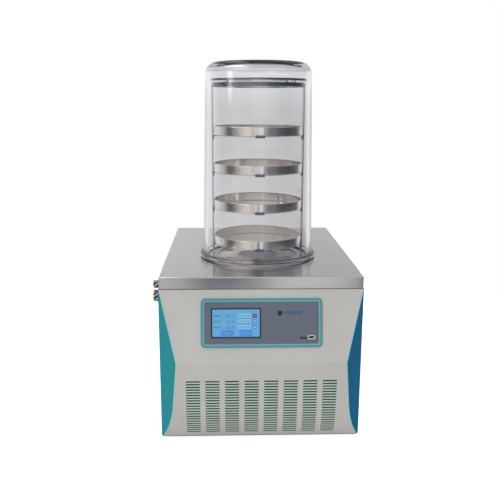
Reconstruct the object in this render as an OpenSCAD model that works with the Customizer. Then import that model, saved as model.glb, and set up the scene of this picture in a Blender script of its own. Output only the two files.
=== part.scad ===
// Bench-top freeze dryer: a refrigerated cabinet with a cold trap sunk in its top deck,
// a clear bell jar standing over the trap, and a rack with four round sample trays.
// Millimetres. +Z is up, the control panel faces -Y, and the feet stand on z = 0.

/* [Cabinet] */
// Width across the two side panels
body_w = 424; // [380:1:510]
// Depth from the side panels' front fold to the back of the deck
body_d = 536; // [500:1:645]
// Height of the deck above the floor
body_h = 360; // [340:1:432]
// Thickness of the folded sheet metal
sheet = 1.5; // [1:0.1:2]
// Height of the rubber feet
foot_h = 10; // [8:1:14]
// Radius of a rubber foot
foot_r = 15; // [12:1:17]
// Height of the deck's turned-down skirt
skirt_h = 25; // [20:1:32]
// Shadow gap between the skirt and the panels below it
skirt_gap = 1.5; // [0.5:0.1:3]
// How far the deck overhangs the side panels' front fold
deck_lip = 3; // [2:0.5:5]

/* [Front panel] */
// Thickness of the moulded front panel
front_t = 2; // [1.5:0.1:3]
// How far the panel's top edge stands in front of the side panels' fold
top_lean = 2; // [1:0.5:4]
// How far the waist crease stands in front of the side panels' fold
bulge = 37; // [30:1:44]
// Height of the waist crease above the floor
crease_h = 186; // [175:1:200]
// Backward slope of the panel below the crease, in degrees
lower_slope = 5; // [3:0.5:7]
// Height above the floor at which the lower curve starts
turn_h = 88; // [75:1:100]
// Radius of the lower curve
turn_r = 210; // [190:1:260]
// How far the front panel's side edges stand proud of the corner cheeks
edge_proud = 1; // [0.5:0.1:1.5]

/* [Air slots] */
// Columns of slots in the front panel
slot_cols = 8; // [4:1:8]
// Rows of slots in the front panel
slot_rows = 21; // [8:1:21]
// Spacing of the columns
slot_pitch_x = 40.6; // [34:0.1:41]
// Spacing of the rows, measured along the panel
slot_pitch = 6.3; // [5:0.1:6.4]
// Length of a slot
slot_l = 29; // [20:0.5:31]
// Height of a slot
slot_h = 3.2; // [2:0.1:3.6]
// Distance from the crease down to the first row
slot_drop = 41.5; // [30:0.5:44]

/* [Control panel] */
// Width of the control panel's border
bezel_w = 249; // [200:1:300]
// Height of the control panel's border
bezel_h = 100.5; // [90:0.5:110]
// Thickness of the border
bezel_t = 3; // [2:0.5:4]
// Width of the border strip
bezel_rim = 7; // [5:0.5:10]
// Outer corner radius of the border
bezel_r = 9; // [6:0.5:12]
// Distance from the front panel's top edge down to the border
bezel_drop = 18.5; // [12:0.5:24]
// Thickness of the facing plate inside the border
fascia_t = 2; // [1:0.5:2.5]
// Width of the display glass
lcd_w = 97; // [80:1:110]
// Height of the display glass
lcd_h = 56; // [45:1:60]
// Sideways place of the display's centre
lcd_x = -52.5; // [-60:0.5:-45]
// Width of the display's rim
lcd_rim = 2.5; // [2:0.5:4]
// Depth of the display module behind the facing plate
lcd_depth = 12; // [8:1:16]
// Sideways place of the data socket
usb_x = 102; // [92:1:104]
// Height of the data socket above the border's lower edge
usb_rise = 20.5; // [16:0.5:28]

/* [Bell jar] */
// Distance from the front fold back to the chamber's axis
chamber_back = 200; // [195:1:215]
// Outer radius of the jar just above its foot
jar_foot_r = 125; // [122:0.5:130]
// Outer radius of the jar at its top
jar_top_r = 117.3; // [116:0.1:121]
// Height of the jar's top above the deck
jar_h = 433; // [420:1:470]
// Thickness of the jar's wall
jar_wall = 8; // [5:0.5:9]
// Thickness of the jar's flat top
jar_roof = 12; // [8:1:16]
// Outer radius of the rounded top edge
jar_round = 25; // [15:1:30]
// Outer radius of the foot flange
flange_r = 132; // [130:0.5:140]
// Height of the foot flange
flange_h = 10; // [8:0.5:14]
// Radius of the sealing ring's centre line
seal_r = 122; // [120:0.5:126]
// Width and height of the sealing ring
seal_w = 6; // [5:0.5:7]
// How far the sealing ring lifts the jar off the deck
seal_lift = 1; // [0.5:0.1:2]

/* [Rack and trays] */
// Outer radius of a tray
tray_r = 100; // [84:0.5:101]
// Height of a tray
tray_h = 21; // [15:1:28]
// Thickness of a tray's wall and floor
tray_t = 1; // [0.8:0.1:2]
// Height of the lowest tray's floor above the deck
tray_first = 31; // [26:1:40]
// Spacing of the trays
tray_pitch = 81.5; // [70:0.5:84]
// Gap between a tray and what stands beside it
tray_gap = 1; // [0.5:0.1:2]
// Width of the rack's flat bars
bar_w = 20; // [14:1:24]
// Thickness of the rack's flat bars
bar_t = 2; // [1.5:0.1:3]
// Height of the rack's upper ring
ring_h = 8.5; // [6:0.5:12]
// Height of the rack plate's top above the deck
plate_top = 397; // [385:1:404]
// Thickness of the rack plate
plate_t = 4.5; // [3:0.5:6]
// How far the rack plate overhangs the upper ring
plate_over = 2.5; // [0:0.5:3]
// Height of the spacers between the ring and the plate
spacer_h = 4; // [3:0.5:6]
// Radius of the opening in the stand plate
stand_bore_r = 45; // [30:1:60]
// Thickness of the stand plate
stand_t = 2; // [1.5:0.1:3]

/* [Cold trap] */
// Inner radius of the cold trap
trap_r = 106; // [89:1:108]
// Depth of the cold trap below the deck
trap_depth = 165; // [140:1:172]
// Radius of the cooling tube
coil_tube_r = 4.75; // [3.5:0.25:5]
// Spacing of the cooling tube's turns
coil_pitch = 14; // [12:0.5:16]
// Thickness of the foam around the cooling tube
foam_t = 25; // [18:1:26]
// Gap between soldered or seated parts
seat_gap = 0.3; // [0.2:0.05:0.4]

/* [Cooling set] */
// Radius of the compressor's shell
comp_r = 72; // [60:1:74]
// Height of the compressor's shell
comp_h = 175; // [150:1:185]
// Sideways place of the compressor
comp_x = 97; // [92:1:105]
// Width of the condenser block
cond_w = 290; // [240:1:300]
// Height of the condenser block
cond_h = 136; // [120:1:140]
// Depth of the condenser block
cond_d = 40; // [30:1:44]
// Tip radius of the fan
fan_r = 60; // [50:1:62]
// Radial gap between the fan's blades and its ring
fan_gap = 3; // [2:0.5:5]
// Radius of the fan motor's shaft
shaft_r = 4; // [3:0.5:5]
// Running clearance of turning parts on their shafts
run_gap = 0.05; // [0.02:0.01:0.1]

/* [Side fittings] */
// Distance of the side fittings behind the front fold
fitting_back = 80; // [60:1:100]
// How far the side fittings stand out from the side panel
side_reach = 18; // [16:0.5:24]
// Radius of the air-inlet knob
knob_r = 13; // [10:0.5:14]
// Depth of the knob's centre below the deck
knob_drop = 63; // [62:0.5:68]
// Radius of the gas port's knurled cap
cap_r = 8.7; // [7:0.1:9]
// Depth of the gas port's centre below the deck
cap_drop = 37; // [36:0.5:39]

/* [Rear fittings] */
// Outer radius of the vacuum flange
vac_flange_r = 20; // [18:0.5:22]
// Bore radius of the vacuum flange and its tube
vac_bore_r = 12.5; // [11:0.25:13]
// Depth of the vacuum tube's axis below the deck
vac_drop = 46; // [44:1:52]
// Reach of the vacuum flange behind the cabinet
vac_reach = 32; // [26:1:40]
// Height of the drain valve's axis above the floor
drain_h = 45; // [40:1:50]
// Reach of the drain nipple behind the cabinet
drain_reach = 46; // [42:1:56]
// Outer radius of the drain nipple
drain_r = 5; // [4:0.5:6]

/* [Hidden] */
$fn = 96;
round_fn = 32;

over = 1;
deck_w = body_w - 2 * sheet;
half_w = body_w / 2;
inner_w = deck_w / 2;
post_out = inner_w - sheet;
deck_under = body_h - sheet;
skirt_z = body_h - skirt_h;
panel_z = skirt_z - skirt_gap;
floor_z = foot_h + sheet;
base_y = 3;
rear_in = body_d - 2 * sheet - skirt_gap;
rear_out = rear_in + sheet;
rear_reach = max(vac_reach, drain_reach);
shift_x = side_reach / 2;
shift_y = (bulge - body_d - rear_reach) / 2;

leg = 20;
return_w = 8;
foot_x = inner_w - return_w - 1 - foot_r;
foot_y = [46, body_d - 50];
foot_hole_r = 3.2;
bolt_r = 2.9;
bolt_head_r = 5.5;
bolt_head_h = 3;
rear_screw_x = inner_w - 10;
rear_screw_z = [foot_h + 12, (foot_h + panel_z) / 2, panel_z - 8];
rear_slots = 12;
rear_slot_pitch = 9;
rear_slot_z = foot_h + 110;

slope_angle = atan2(bulge - top_lean, panel_z - crease_h);
turn_b = bulge - (crease_h - turn_h) * tan(lower_slope);
turn_y = turn_r * cos(lower_slope) - turn_b;
turn_z = turn_h + turn_r * sin(lower_slope);
bottom_b = turn_r * cos(asin((turn_z - foot_h) / turn_r)) - turn_y;
straight_len = (crease_h - turn_h) / cos(lower_slope);
bezel_mid = bezel_drop + bezel_h / 2;
usb_y = usb_rise - bezel_h / 2;
board_back = 16;
socket_size = [14, 6.5];

chamber_y = chamber_back;
jar_in_r = jar_foot_r - jar_wall;
jar_joint_z = jar_h - jar_round - 15;
rack_r = tray_r + tray_gap;
rack_out = rack_r + bar_t;
upright_in = rack_r + bar_t / 4;
ring_top = plate_top - plate_t - spacer_h;
ring_z = ring_top - ring_h;
stand_r = (trap_r + jar_in_r) / 2 + 1;

well_out = trap_r + sheet;
well_z = body_h - trap_depth;
probe_r = 3;
coil_r = well_out + seat_gap + coil_tube_r;
coil_outer = coil_r + coil_tube_r + seat_gap;
foam_out = coil_outer + foam_t;
foam_z = well_z - sheet - foam_t;
coil_start = 60;
coil_turns = 5;
coil_low = well_z + 8;
coil_high = coil_low + coil_turns * coil_pitch;
coil_entry = [cos(coil_start), sin(coil_start), 0];
line_r = 5;
thin_line_r = 2.4;

vac_tube_r = vac_bore_r + 1.5;
drain_pipe_r = drain_r + 1.5;
valve_y = body_d + 16;
stem_r = 4;
lever_z = 14;
lever_hub = 5;
spindle_r = 3;
fitting_x = -half_w;
knob_z = body_h - knob_drop;
cap_z = body_h - cap_drop;
valve_inner = 22;
port_inner = 14;
air_line_r = 4;
valve_in = [fitting_x + valve_inner, fitting_back, knob_z];
port_in = [fitting_x + port_inner, fitting_back, cap_z];
line_turn = valve_in + [12, 0, 0];
air_angle = atan2(chamber_y - fitting_back, -line_turn[0]);

comp_y = rear_in - sheet - comp_r - 24;
comp_lift = 12;
comp_z = floor_z + comp_lift + 3;
comp_foot = comp_r - 4;
comp_bolt_at = [for (x = [-1, 1], y = [-1, 1])
    [comp_x + x * comp_foot * 0.86, comp_y + y * comp_foot * 0.86]];
stub_l = 10;
stub_dir = [cos(235), sin(235), 0];
out_dir = [cos(-50), sin(-50), 0];
stub_end = [comp_x, comp_y, comp_z + 120] + stub_dir * (comp_r + stub_l);
out_end = [comp_x, comp_y, comp_z + 100] + out_dir * (comp_r + stub_l);
cond_y = 18;
cond_z = floor_z + 6;
fan_z = cond_z + cond_h / 2;
shroud_y = cond_y + cond_d;
shroud_d = 22;
ring_y = shroud_y + shroud_d;
fan_ring_d = 16;
motor_y = ring_y + fan_ring_d + bar_t;
fan_tip = fan_r + fan_gap;
side_run = cond_w / 2 + 28;
drier_low = 55;
drier_l = 80;
drier_r = 10;

inlet_x = -150;
switch_x = -105;
inlet_z = 60;
rocker_in = -2;
rocker_tilt = 9;
rocker_pin_r = 1.5;

// ---- shared shapes ----

// Moves the cabinet's own axes to the part's origin under the middle of its box
module place() {
    translate([shift_x, shift_y, 0]) children();
}

// Axis of the chamber at the height of the deck
module at_chamber() {
    place() translate([0, chamber_y, body_h]) children();
}

// Flat shape in the Y-Z plane drawn out along X, centred
module along_x(width) {
    rotate([90, 0, 90]) linear_extrude(width, center = true) children();
}

// Plane of the sloping upper front, with +Z out of it and +Y up along it
module on_slope(drop = 0) {
    place() translate([0, -top_lean, panel_z]) rotate([90 - slope_angle, 0, 0])
        translate([0, -drop, 0]) children();
}

// Rounded rectangle centred on the origin
module round_rect(w, h, r) {
    offset(r = r, $fn = round_fn) square([w - 2 * r, h - 2 * r], center = true);
}

// Straight tube or rod between two points
module rod(a, b, r) {
    v = b - a;
    translate(a) rotate([0, acos(v[2] / norm(v)), atan2(v[1], v[0])])
        cylinder(h = norm(v), r = r, $fn = 48);
}

// Run of tube through a list of points, with a brazed elbow at each corner
module tube_run(points, r) {
    union() {
        for (i = [0 : len(points) - 2]) rod(points[i], points[i + 1], r);
        for (i = [1 : 1 : len(points) - 2]) translate(points[i]) sphere(r = r * 1.25, $fn = 48);
    }
}

// Pan-head screw with its head on z = 0 and its shank going down
module screw(head_r, head_h, shank_r, shank_l) {
    difference() {
        union() {
            cylinder(h = head_h, r = head_r, $fn = 32);
            translate([0, 0, -shank_l]) cylinder(h = shank_l, r = shank_r, $fn = 32);
        }
        translate([0, 0, head_h * 0.4]) linear_extrude(head_h) union() {
            square([head_r * 1.2, head_r * 0.28], center = true);
            square([head_r * 0.28, head_r * 1.2], center = true);
        }
    }
}

// ---- front profile ----

// Area behind the front profile, moved back by set, seen from the side
module behind_front(set, depth) {
    union() {
        polygon([[depth, foot_h], [depth, panel_z], [set - top_lean, panel_z],
                 [set - bulge, crease_h], [set - turn_b, turn_h], [set - bottom_b, foot_h]]);
        intersection() {
            translate([turn_y + set, turn_z]) circle(r = turn_r, $fn = 360);
            translate([set - bulge, foot_h]) square([depth + bulge - set, turn_h - foot_h]);
        }
    }
}

// Wedge between the two 45 degree corner planes, moved out by proud
module corner_wedge(proud) {
    reach = bulge + over;
    linear_extrude(body_h)
        polygon([[-half_w - proud, 0], [-half_w - proud + reach, -reach],
                 [half_w + proud - reach, -reach], [half_w + proud, 0],
                 [half_w + proud, reach], [-half_w - proud, reach]]);
}

// Height and forward reach of the lower panel at a distance s below the crease
function turn_a(s) = lower_slope + (s - straight_len) / turn_r * 180 / PI;
function front_z(s) = s < straight_len
    ? crease_h - s * cos(lower_slope)
    : turn_z - turn_r * sin(turn_a(s));
function front_b(s) = s < straight_len
    ? bulge - s * sin(lower_slope)
    : turn_r * cos(turn_a(s)) - turn_y;
function front_tilt(s) = s < straight_len ? lower_slope : turn_a(s);

module slot_row() {
    for (c = [0 : slot_cols - 1])
        translate([(c - (slot_cols - 1) / 2) * slot_pitch_x, 0])
            square([slot_l, slot_h], center = true);
}

// ---- cabinet ----

module deck_plate() {
    deck_d = body_d + deck_lip;
    color([0.78, 0.78, 0.77]) place() difference() {
        translate([-inner_w, -deck_lip, skirt_z]) cube([deck_w, deck_d, skirt_h]);
        translate([-post_out, sheet - deck_lip, skirt_z - over])
            cube([2 * post_out, deck_d - 2 * sheet, skirt_h - sheet + over]);
        translate([0, chamber_y, skirt_z]) cylinder(h = skirt_h + over, r = trap_r);
    }
}

module front_panel() {
    ledge = 3;
    window_w = bezel_w - 2 * (bezel_rim + ledge);
    window_h = bezel_h - 2 * (bezel_rim + ledge);
    color([0.75, 0.74, 0.71]) difference() {
        place() intersection() {
            along_x(body_w) difference() {
                behind_front(0, bulge);
                behind_front(front_t, bulge + over);
            }
            corner_wedge(edge_proud);
        }
        on_slope(bezel_mid) translate([0, 0, -front_t * 2])
            linear_extrude(front_t * 3) round_rect(window_w, window_h, bezel_r / 2);
        place() for (i = [0 : slot_rows - 1]) {
            s = slot_drop + i * slot_pitch;
            translate([0, -front_b(s), front_z(s)]) rotate([90 + front_tilt(s), 0, 0])
                linear_extrude(front_t * 4, center = true) slot_row();
        }
    }
}

// Side sheet with its 45 degree front cheek, for the +X side
module side_sheet() {
    skin = sheet * sqrt(2);
    union() {
        translate([inner_w, 0, foot_h]) cube([sheet, body_d, panel_z - foot_h]);
        translate([inner_w - return_w, 20, foot_h - sheet])
            cube([return_w + sheet, body_d - 40, sheet]);
        intersection() {
            along_x(2 * body_w) behind_front(front_t, over * 2);
            translate([0, 0, foot_h]) linear_extrude(panel_z - foot_h)
                polygon([[half_w, 0], [half_w - bulge, -bulge],
                         [half_w - bulge - skin, -bulge], [half_w - skin, 0],
                         [half_w - sheet, skin - sheet], [half_w, skin - sheet]]);
        }
    }
}

module right_side_panel() {
    color([0.11, 0.36, 0.48]) place() side_sheet();
}

module left_side_panel() {
    color([0.17, 0.55, 0.58]) place() difference() {
        mirror([1, 0, 0]) side_sheet();
        translate([fitting_x - over, fitting_back, knob_z]) rotate([0, 90, 0])
            cylinder(h = sheet + 2 * over, r = 7);
        translate([fitting_x - over, fitting_back, cap_z]) rotate([0, 90, 0])
            cylinder(h = sheet + 2 * over, r = 5);
    }
}

module rear_screw_holes() {
    for (x = [-1, 1], z = rear_screw_z)
        translate([x * rear_screw_x, rear_in - 8, z]) rotate([-90, 0, 0])
            cylinder(h = 12, r = 2, $fn = 32);
}

module rear_panel() {
    color([0.75, 0.74, 0.71]) place() difference() {
        translate([-inner_w, rear_in, foot_h]) cube([deck_w, sheet, panel_z - foot_h]);
        translate([0, rear_in - over, body_h - vac_drop]) rotate([-90, 0, 0])
            cylinder(h = sheet + 2 * over, r = vac_bore_r + 2);
        translate([0, rear_in - over, drain_h]) rotate([-90, 0, 0])
            cylinder(h = sheet + 2 * over, r = drain_pipe_r + 1.5);
        translate([inlet_x, rear_in - over, inlet_z]) rotate([-90, 0, 0])
            linear_extrude(sheet + 2 * over) square([28, 22], center = true);
        translate([switch_x, rear_in - over, inlet_z]) rotate([-90, 0, 0])
            linear_extrude(sheet + 2 * over) square([20, 14], center = true);
        rear_screw_holes();
        for (i = [0 : rear_slots - 1])
            translate([comp_x, rear_in - over, rear_slot_z + i * rear_slot_pitch])
                rotate([-90, 0, 0]) linear_extrude(sheet + 2 * over)
                    square([110, 3.4], center = true);
    }
}

module rear_panel_screws() {
    color([0.7, 0.7, 0.7]) place() for (x = [-1, 1], z = rear_screw_z)
        translate([x * rear_screw_x, rear_out, z]) rotate([-90, 0, 0])
            screw(4, 2.2, 1.9, sheet + 3);
}

module base_pan() {
    pan_d = rear_in - base_y;
    color([0.45, 0.46, 0.46]) place() difference() {
        translate([-inner_w, base_y, foot_h]) cube([deck_w, pan_d, leg]);
        translate([-post_out, base_y + sheet, floor_z])
            cube([2 * post_out, pan_d - 2 * sheet, leg]);
        rear_screw_holes();
        for (x = [-1, 1], y = foot_y) translate([x * foot_x, y, foot_h - over])
            cylinder(h = sheet + 2 * over, r = foot_hole_r, $fn = 32);
        for (p = comp_bolt_at) translate([p[0], p[1], foot_h - over])
            cylinder(h = sheet + 2 * over, r = foot_hole_r, $fn = 32);
    }
}

module corner_posts() {
    color([0.35, 0.36, 0.37]) place() difference() {
        for (x = [-1, 1], y = [0, 1])
            translate([0, y == 0 ? base_y : rear_in, 0])
                mirror([x < 0 ? 1 : 0, 0, 0]) mirror([0, y, 0])
                    translate([0, sheet, floor_z]) linear_extrude(deck_under - floor_z)
                        polygon([[post_out, 0], [post_out, leg], [post_out - sheet, leg],
                                 [post_out - sheet, sheet], [post_out - leg, sheet],
                                 [post_out - leg, 0]]);
        rear_screw_holes();
    }
}

module deck_rails() {
    color([0.35, 0.36, 0.37]) place() for (x = [-1, 1])
        mirror([x < 0 ? 1 : 0, 0, 0])
            translate([0, base_y + sheet + leg + over, deck_under]) rotate([-90, 0, 0])
                linear_extrude(rear_in - base_y - 2 * (sheet + leg + over))
                    polygon([[post_out, 0], [post_out - leg, 0], [post_out - leg, sheet],
                             [post_out - sheet, sheet], [post_out - sheet, leg],
                             [post_out, leg]]);
}

module rubber_feet() {
    color([0.1, 0.1, 0.1]) place() for (x = [-1, 1], y = foot_y)
        translate([x * foot_x, y, 0]) difference() {
            rotate_extrude() polygon([[0, 0], [foot_r - 2, 0], [foot_r - 0.5, 2],
                                      [foot_r, foot_h], [0, foot_h]]);
            translate([0, 0, -over]) cylinder(h = foot_h + 2 * over, r = foot_hole_r, $fn = 32);
            translate([0, 0, -over]) cylinder(h = 5 + over, r = 6.5, $fn = 32);
        }
}

module foot_bolts() {
    color([0.7, 0.7, 0.7]) place() for (x = [-1, 1], y = foot_y)
        translate([x * foot_x, y, 5]) union() {
            translate([0, 0, -bolt_head_h]) cylinder(h = bolt_head_h, r = bolt_head_r, $fn = 32);
            cylinder(h = floor_z + 2, r = bolt_r, $fn = 32);
            translate([0, 0, floor_z - 5]) cylinder(h = 5, r = bolt_head_r, $fn = 6);
        }
}

// ---- control panel ----

module bezel_outline(inset) {
    round_rect(bezel_w - 2 * inset, bezel_h - 2 * inset, max(bezel_r - inset, 1));
}

module panel_bezel() {
    color([0.25, 0.55, 0.57]) on_slope(bezel_mid) linear_extrude(bezel_t)
        difference() {
            bezel_outline(0);
            bezel_outline(bezel_rim);
        }
}

module panel_fascia() {
    color([0.4, 0.44, 0.49]) on_slope(bezel_mid) difference() {
        linear_extrude(fascia_t) bezel_outline(bezel_rim);
        translate([0, 0, -over]) linear_extrude(fascia_t + 2 * over) union() {
            translate([lcd_x, 0]) square([lcd_w, lcd_h], center = true);
            translate([usb_x, usb_y]) square(socket_size, center = true);
        }
    }
}

module display_rim() {
    color([0.1, 0.2, 0.3]) on_slope(bezel_mid)
        translate([lcd_x, 0, fascia_t]) linear_extrude(0.8) difference() {
            square([lcd_w + 2 * lcd_rim, lcd_h + 2 * lcd_rim], center = true);
            square([lcd_w, lcd_h], center = true);
        }
}

module display_glass() {
    color([0.42, 0.7, 0.9]) on_slope(bezel_mid)
        translate([lcd_x, 0, 0]) linear_extrude(fascia_t)
            square([lcd_w, lcd_h], center = true);
}

module display_module() {
    color([0.15, 0.16, 0.17]) on_slope(bezel_mid)
        translate([lcd_x, 0, -lcd_depth]) linear_extrude(lcd_depth)
            square([lcd_w + 6, lcd_h + 6], center = true);
}

module data_socket() {
    depth = 14;
    color([0.85, 0.85, 0.83]) on_slope(bezel_mid)
        translate([usb_x, usb_y, 0]) difference() {
            union() {
                translate([0, 0, -depth]) linear_extrude(depth + fascia_t)
                    square(socket_size, center = true);
                translate([0, 0, fascia_t]) linear_extrude(0.8) round_rect(17, 9, 4.4);
            }
            difference() {
                translate([0, 0, 3 - depth]) linear_extrude(depth + fascia_t)
                    square(socket_size - [2, 2], center = true);
                translate([0, 0.9, 2 - depth]) linear_extrude(depth - 2.5)
                    square([10.5, 1.8], center = true);
            }
        }
}

module control_board() {
    board_w = 88;
    board_h = 66;
    color([0.1, 0.35, 0.2]) on_slope(bezel_mid) translate([board_w / 2, 0, -board_back]) union() {
        linear_extrude(1.6) square([board_w, board_h], center = true);
        for (x = [-38, 38], y = [-28, 28]) translate([x, y, 0])
            cylinder(h = board_back, r = 3, $fn = 32);
        translate([-16, 8, -9]) linear_extrude(9) square([22, 14], center = true);
        translate([16, -12, -6]) linear_extrude(6) square([12, 30], center = true);
    }
}

// ---- drying chamber ----

// Outline of the jar's body with its top edge rounded by r
module jar_shape(foot_rad, top_rad, low, high, r) {
    polygon(concat([[0, low], [foot_rad, low], [top_rad, high - r]],
                   [for (a = [7.5 : 7.5 : 82.5]) [top_rad - r + r * cos(a), high - r + r * sin(a)]],
                   [[top_rad - r, high], [0, high]]));
}

// Cut outline of the whole jar, hollow, with its foot flange and the groove for the seal
module jar_profile() {
    difference() {
        union() {
            jar_shape(jar_foot_r, jar_top_r, seal_lift, jar_h, jar_round);
            translate([0, seal_lift]) square([flange_r, flange_h]);
        }
        jar_shape(jar_in_r, jar_top_r - jar_wall, seal_lift - over, jar_h - jar_roof,
                  jar_round - jar_wall);
        translate([seal_r - seal_w / 2, seal_lift - over])
            square([seal_w, over + seal_w - seal_lift]);
    }
}

// Tapered tube of the jar, with its foot flange
module bell_jar() {
    color([0.85, 0.9, 0.95, 0.35]) at_chamber() rotate_extrude($fn = 144) intersection() {
        jar_profile();
        square([flange_r + over, jar_joint_z]);
    }
}

// Round-edged cap cemented on the tube
module jar_cap() {
    color([0.85, 0.9, 0.95, 0.35]) at_chamber() rotate_extrude($fn = 144) intersection() {
        jar_profile();
        translate([0, jar_joint_z]) square([flange_r + over, jar_h]);
    }
}

module jar_seal() {
    color([0.08, 0.08, 0.08]) at_chamber() rotate_extrude($fn = 144)
        translate([seal_r, seal_w / 2]) intersection() {
            circle(r = seal_w / 2 * 1.12, $fn = round_fn);
            square([seal_w, seal_w], center = true);
        }
}

module stand_plate() {
    color([0.8, 0.8, 0.8]) at_chamber() difference() {
        cylinder(h = stand_t, r = stand_r);
        translate([0, 0, -over]) cylinder(h = stand_t + 2 * over, r = stand_bore_r);
        for (a = [30 : 60 : 330]) rotate(a) translate([(stand_bore_r + trap_r) / 2, 0, -over])
            cylinder(h = stand_t + 2 * over, r = 9, $fn = 48);
    }
}

module rack_frame() {
    low = stand_t;
    color([0.62, 0.62, 0.63]) at_chamber() union() {
        difference() {
            translate([0, 0, low]) cylinder(h = bar_t, r = rack_out);
            translate([0, 0, low - over]) cylinder(h = bar_t + 2 * over, r = rack_r - 10);
        }
        difference() {
            translate([0, 0, ring_z]) cylinder(h = ring_h, r = rack_out);
            translate([0, 0, ring_z - over]) cylinder(h = ring_h + 2 * over, r = rack_r);
        }
        for (s = [-1, 1]) translate([s * (upright_in + bar_t / 2), 0, (low + ring_top) / 2])
            cube([bar_t, bar_w, ring_top - low], center = true);
    }
}

module rack_plate() {
    color([0.6, 0.62, 0.64]) at_chamber() translate([0, 0, plate_top - plate_t])
        cylinder(h = plate_t, r = rack_out + plate_over);
}

module rack_spacers() {
    spacer_r = 4;
    color([0.7, 0.7, 0.7]) at_chamber() for (a = [45 : 90 : 315]) rotate(a)
        translate([rack_out - spacer_r, 0, ring_top])
            cylinder(h = spacer_h, r = spacer_r, $fn = 32);
}

// Cross of flat bars that carries a tray, with turned-up lips at front and back
module shelf(i) {
    z = tray_first + i * tray_pitch - bar_t;
    lip_in = tray_r + seat_gap;
    lip_h = 6;
    tab_h = 8;
    color([0.3, 0.31, 0.33]) at_chamber() translate([0, 0, z]) union() {
        translate([-upright_in, -bar_w / 2, 0]) cube([2 * upright_in, bar_w, bar_t]);
        translate([-bar_w / 2, -lip_in - bar_t, 0]) cube([bar_w, 2 * (lip_in + bar_t), bar_t]);
        for (s = [-1, 1]) {
            translate([-bar_w / 2, s * (lip_in + bar_t / 2) - bar_t / 2, 0])
                cube([bar_w, bar_t, lip_h]);
            translate([s * (upright_in - bar_t / 2) - bar_t / 2, -bar_w / 2, -tab_h])
                cube([bar_t, bar_w, tab_h + bar_t]);
        }
    }
}

module tray(i) {
    z = tray_first + i * tray_pitch;
    bead = tray_t * 0.8;
    wall_r = tray_r - bead;
    color([0.8, 0.79, 0.78]) at_chamber() translate([0, 0, z]) rotate_extrude($fn = 144)
        union() {
            difference() {
                square([wall_r, tray_h]);
                translate([0, tray_t]) square([wall_r - tray_t, tray_h]);
            }
            translate([wall_r - bead - tray_t, tray_h - 2 * bead])
                square([2 * bead + tray_t, 2 * bead]);
        }
}

// ---- cold trap ----

module trap_well() {
    color([0.75, 0.75, 0.75]) at_chamber() difference() {
        union() {
            translate([0, 0, -trap_depth]) cylinder(h = trap_depth - sheet, r = well_out);
            translate([0, 0, -2 * sheet]) cylinder(h = sheet, r = well_out + 8);
        }
        translate([0, 0, -trap_depth + sheet]) cylinder(h = trap_depth, r = trap_r);
        translate([0, 0, -trap_depth - over]) cylinder(h = sheet + 2 * over, r = drain_r, $fn = 48);
        translate([0, 0, -vac_drop]) rotate([-90, 0, 0]) cylinder(h = well_out + over, r = vac_bore_r);
        translate([0, 0, -trap_depth / 2]) rotate([0, -90, 0])
            cylinder(h = well_out + over, r = probe_r + 0.1, $fn = 32);
        translate([0, -chamber_y, -body_h]) air_hole(air_line_r - 1);
    }
}

function coil_point(t) = let (a = coil_start + 360 * t) [
    coil_r * cos(a), coil_r * sin(a), coil_low + coil_pitch * t];

// Cooling tube wound up the outside of the trap, swept ring by ring
module cooling_coil() {
    sides = 8;
    per_turn = 48;
    rings = coil_turns * per_turn;
    points = [for (k = [0 : rings], j = [0 : sides - 1])
        let (t = k / per_turn, a = coil_start + 360 * t, b = 360 * j / sides,
             p = coil_point(t), q = coil_tube_r * cos(b))
        [p[0] + q * cos(a), p[1] + q * sin(a), p[2] + coil_tube_r * sin(b)]];
    around = [for (k = [0 : rings - 1], j = [0 : sides - 1])
        let (n = (j + 1) % sides)
        [k * sides + j, k * sides + n, (k + 1) * sides + n, (k + 1) * sides + j]];
    near = [for (j = [sides - 1 : -1 : 0]) j];
    far = [for (j = [0 : sides - 1]) rings * sides + j];
    color([0.72, 0.45, 0.3]) place() translate([0, chamber_y, 0])
        polyhedron(points, concat(around, [near, far]), convexity = 10);
}

module trap_foam() {
    color([0.9, 0.87, 0.7]) place() translate([0, chamber_y, 0]) difference() {
        translate([0, 0, foam_z]) cylinder(h = deck_under - sheet - foam_z, r = foam_out);
        translate([0, 0, well_z]) cylinder(h = trap_depth, r = coil_outer);
        translate([0, 0, foam_z - over])
            cylinder(h = foam_t + 3, r = drain_pipe_r + 1, $fn = 48);
        translate([0, 0, body_h - vac_drop]) rotate([-90, 0, 0])
            cylinder(h = foam_out + over, r = vac_tube_r + 0.5);
        translate([0, 0, body_h - trap_depth / 2]) rotate([0, -90, 0])
            cylinder(h = foam_out + over, r = probe_r + 0.5, $fn = 32);
        translate([0, -chamber_y, 0]) air_hole(air_line_r + 0.5);
        for (z = [coil_low, coil_high])
            rotate(coil_start) translate([0, 0, z]) rotate([0, 90, 0])
                cylinder(h = foam_out + over, r = line_r + 1, $fn = 48);
    }
}

module trap_probe() {
    tip = trap_r - 30;
    color([0.8, 0.8, 0.8]) at_chamber() translate([0, 0, -trap_depth / 2]) rotate([0, -90, 0])
        translate([0, 0, tip]) cylinder(h = foam_out + 12 - tip, r = probe_r, $fn = 32);
}

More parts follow.
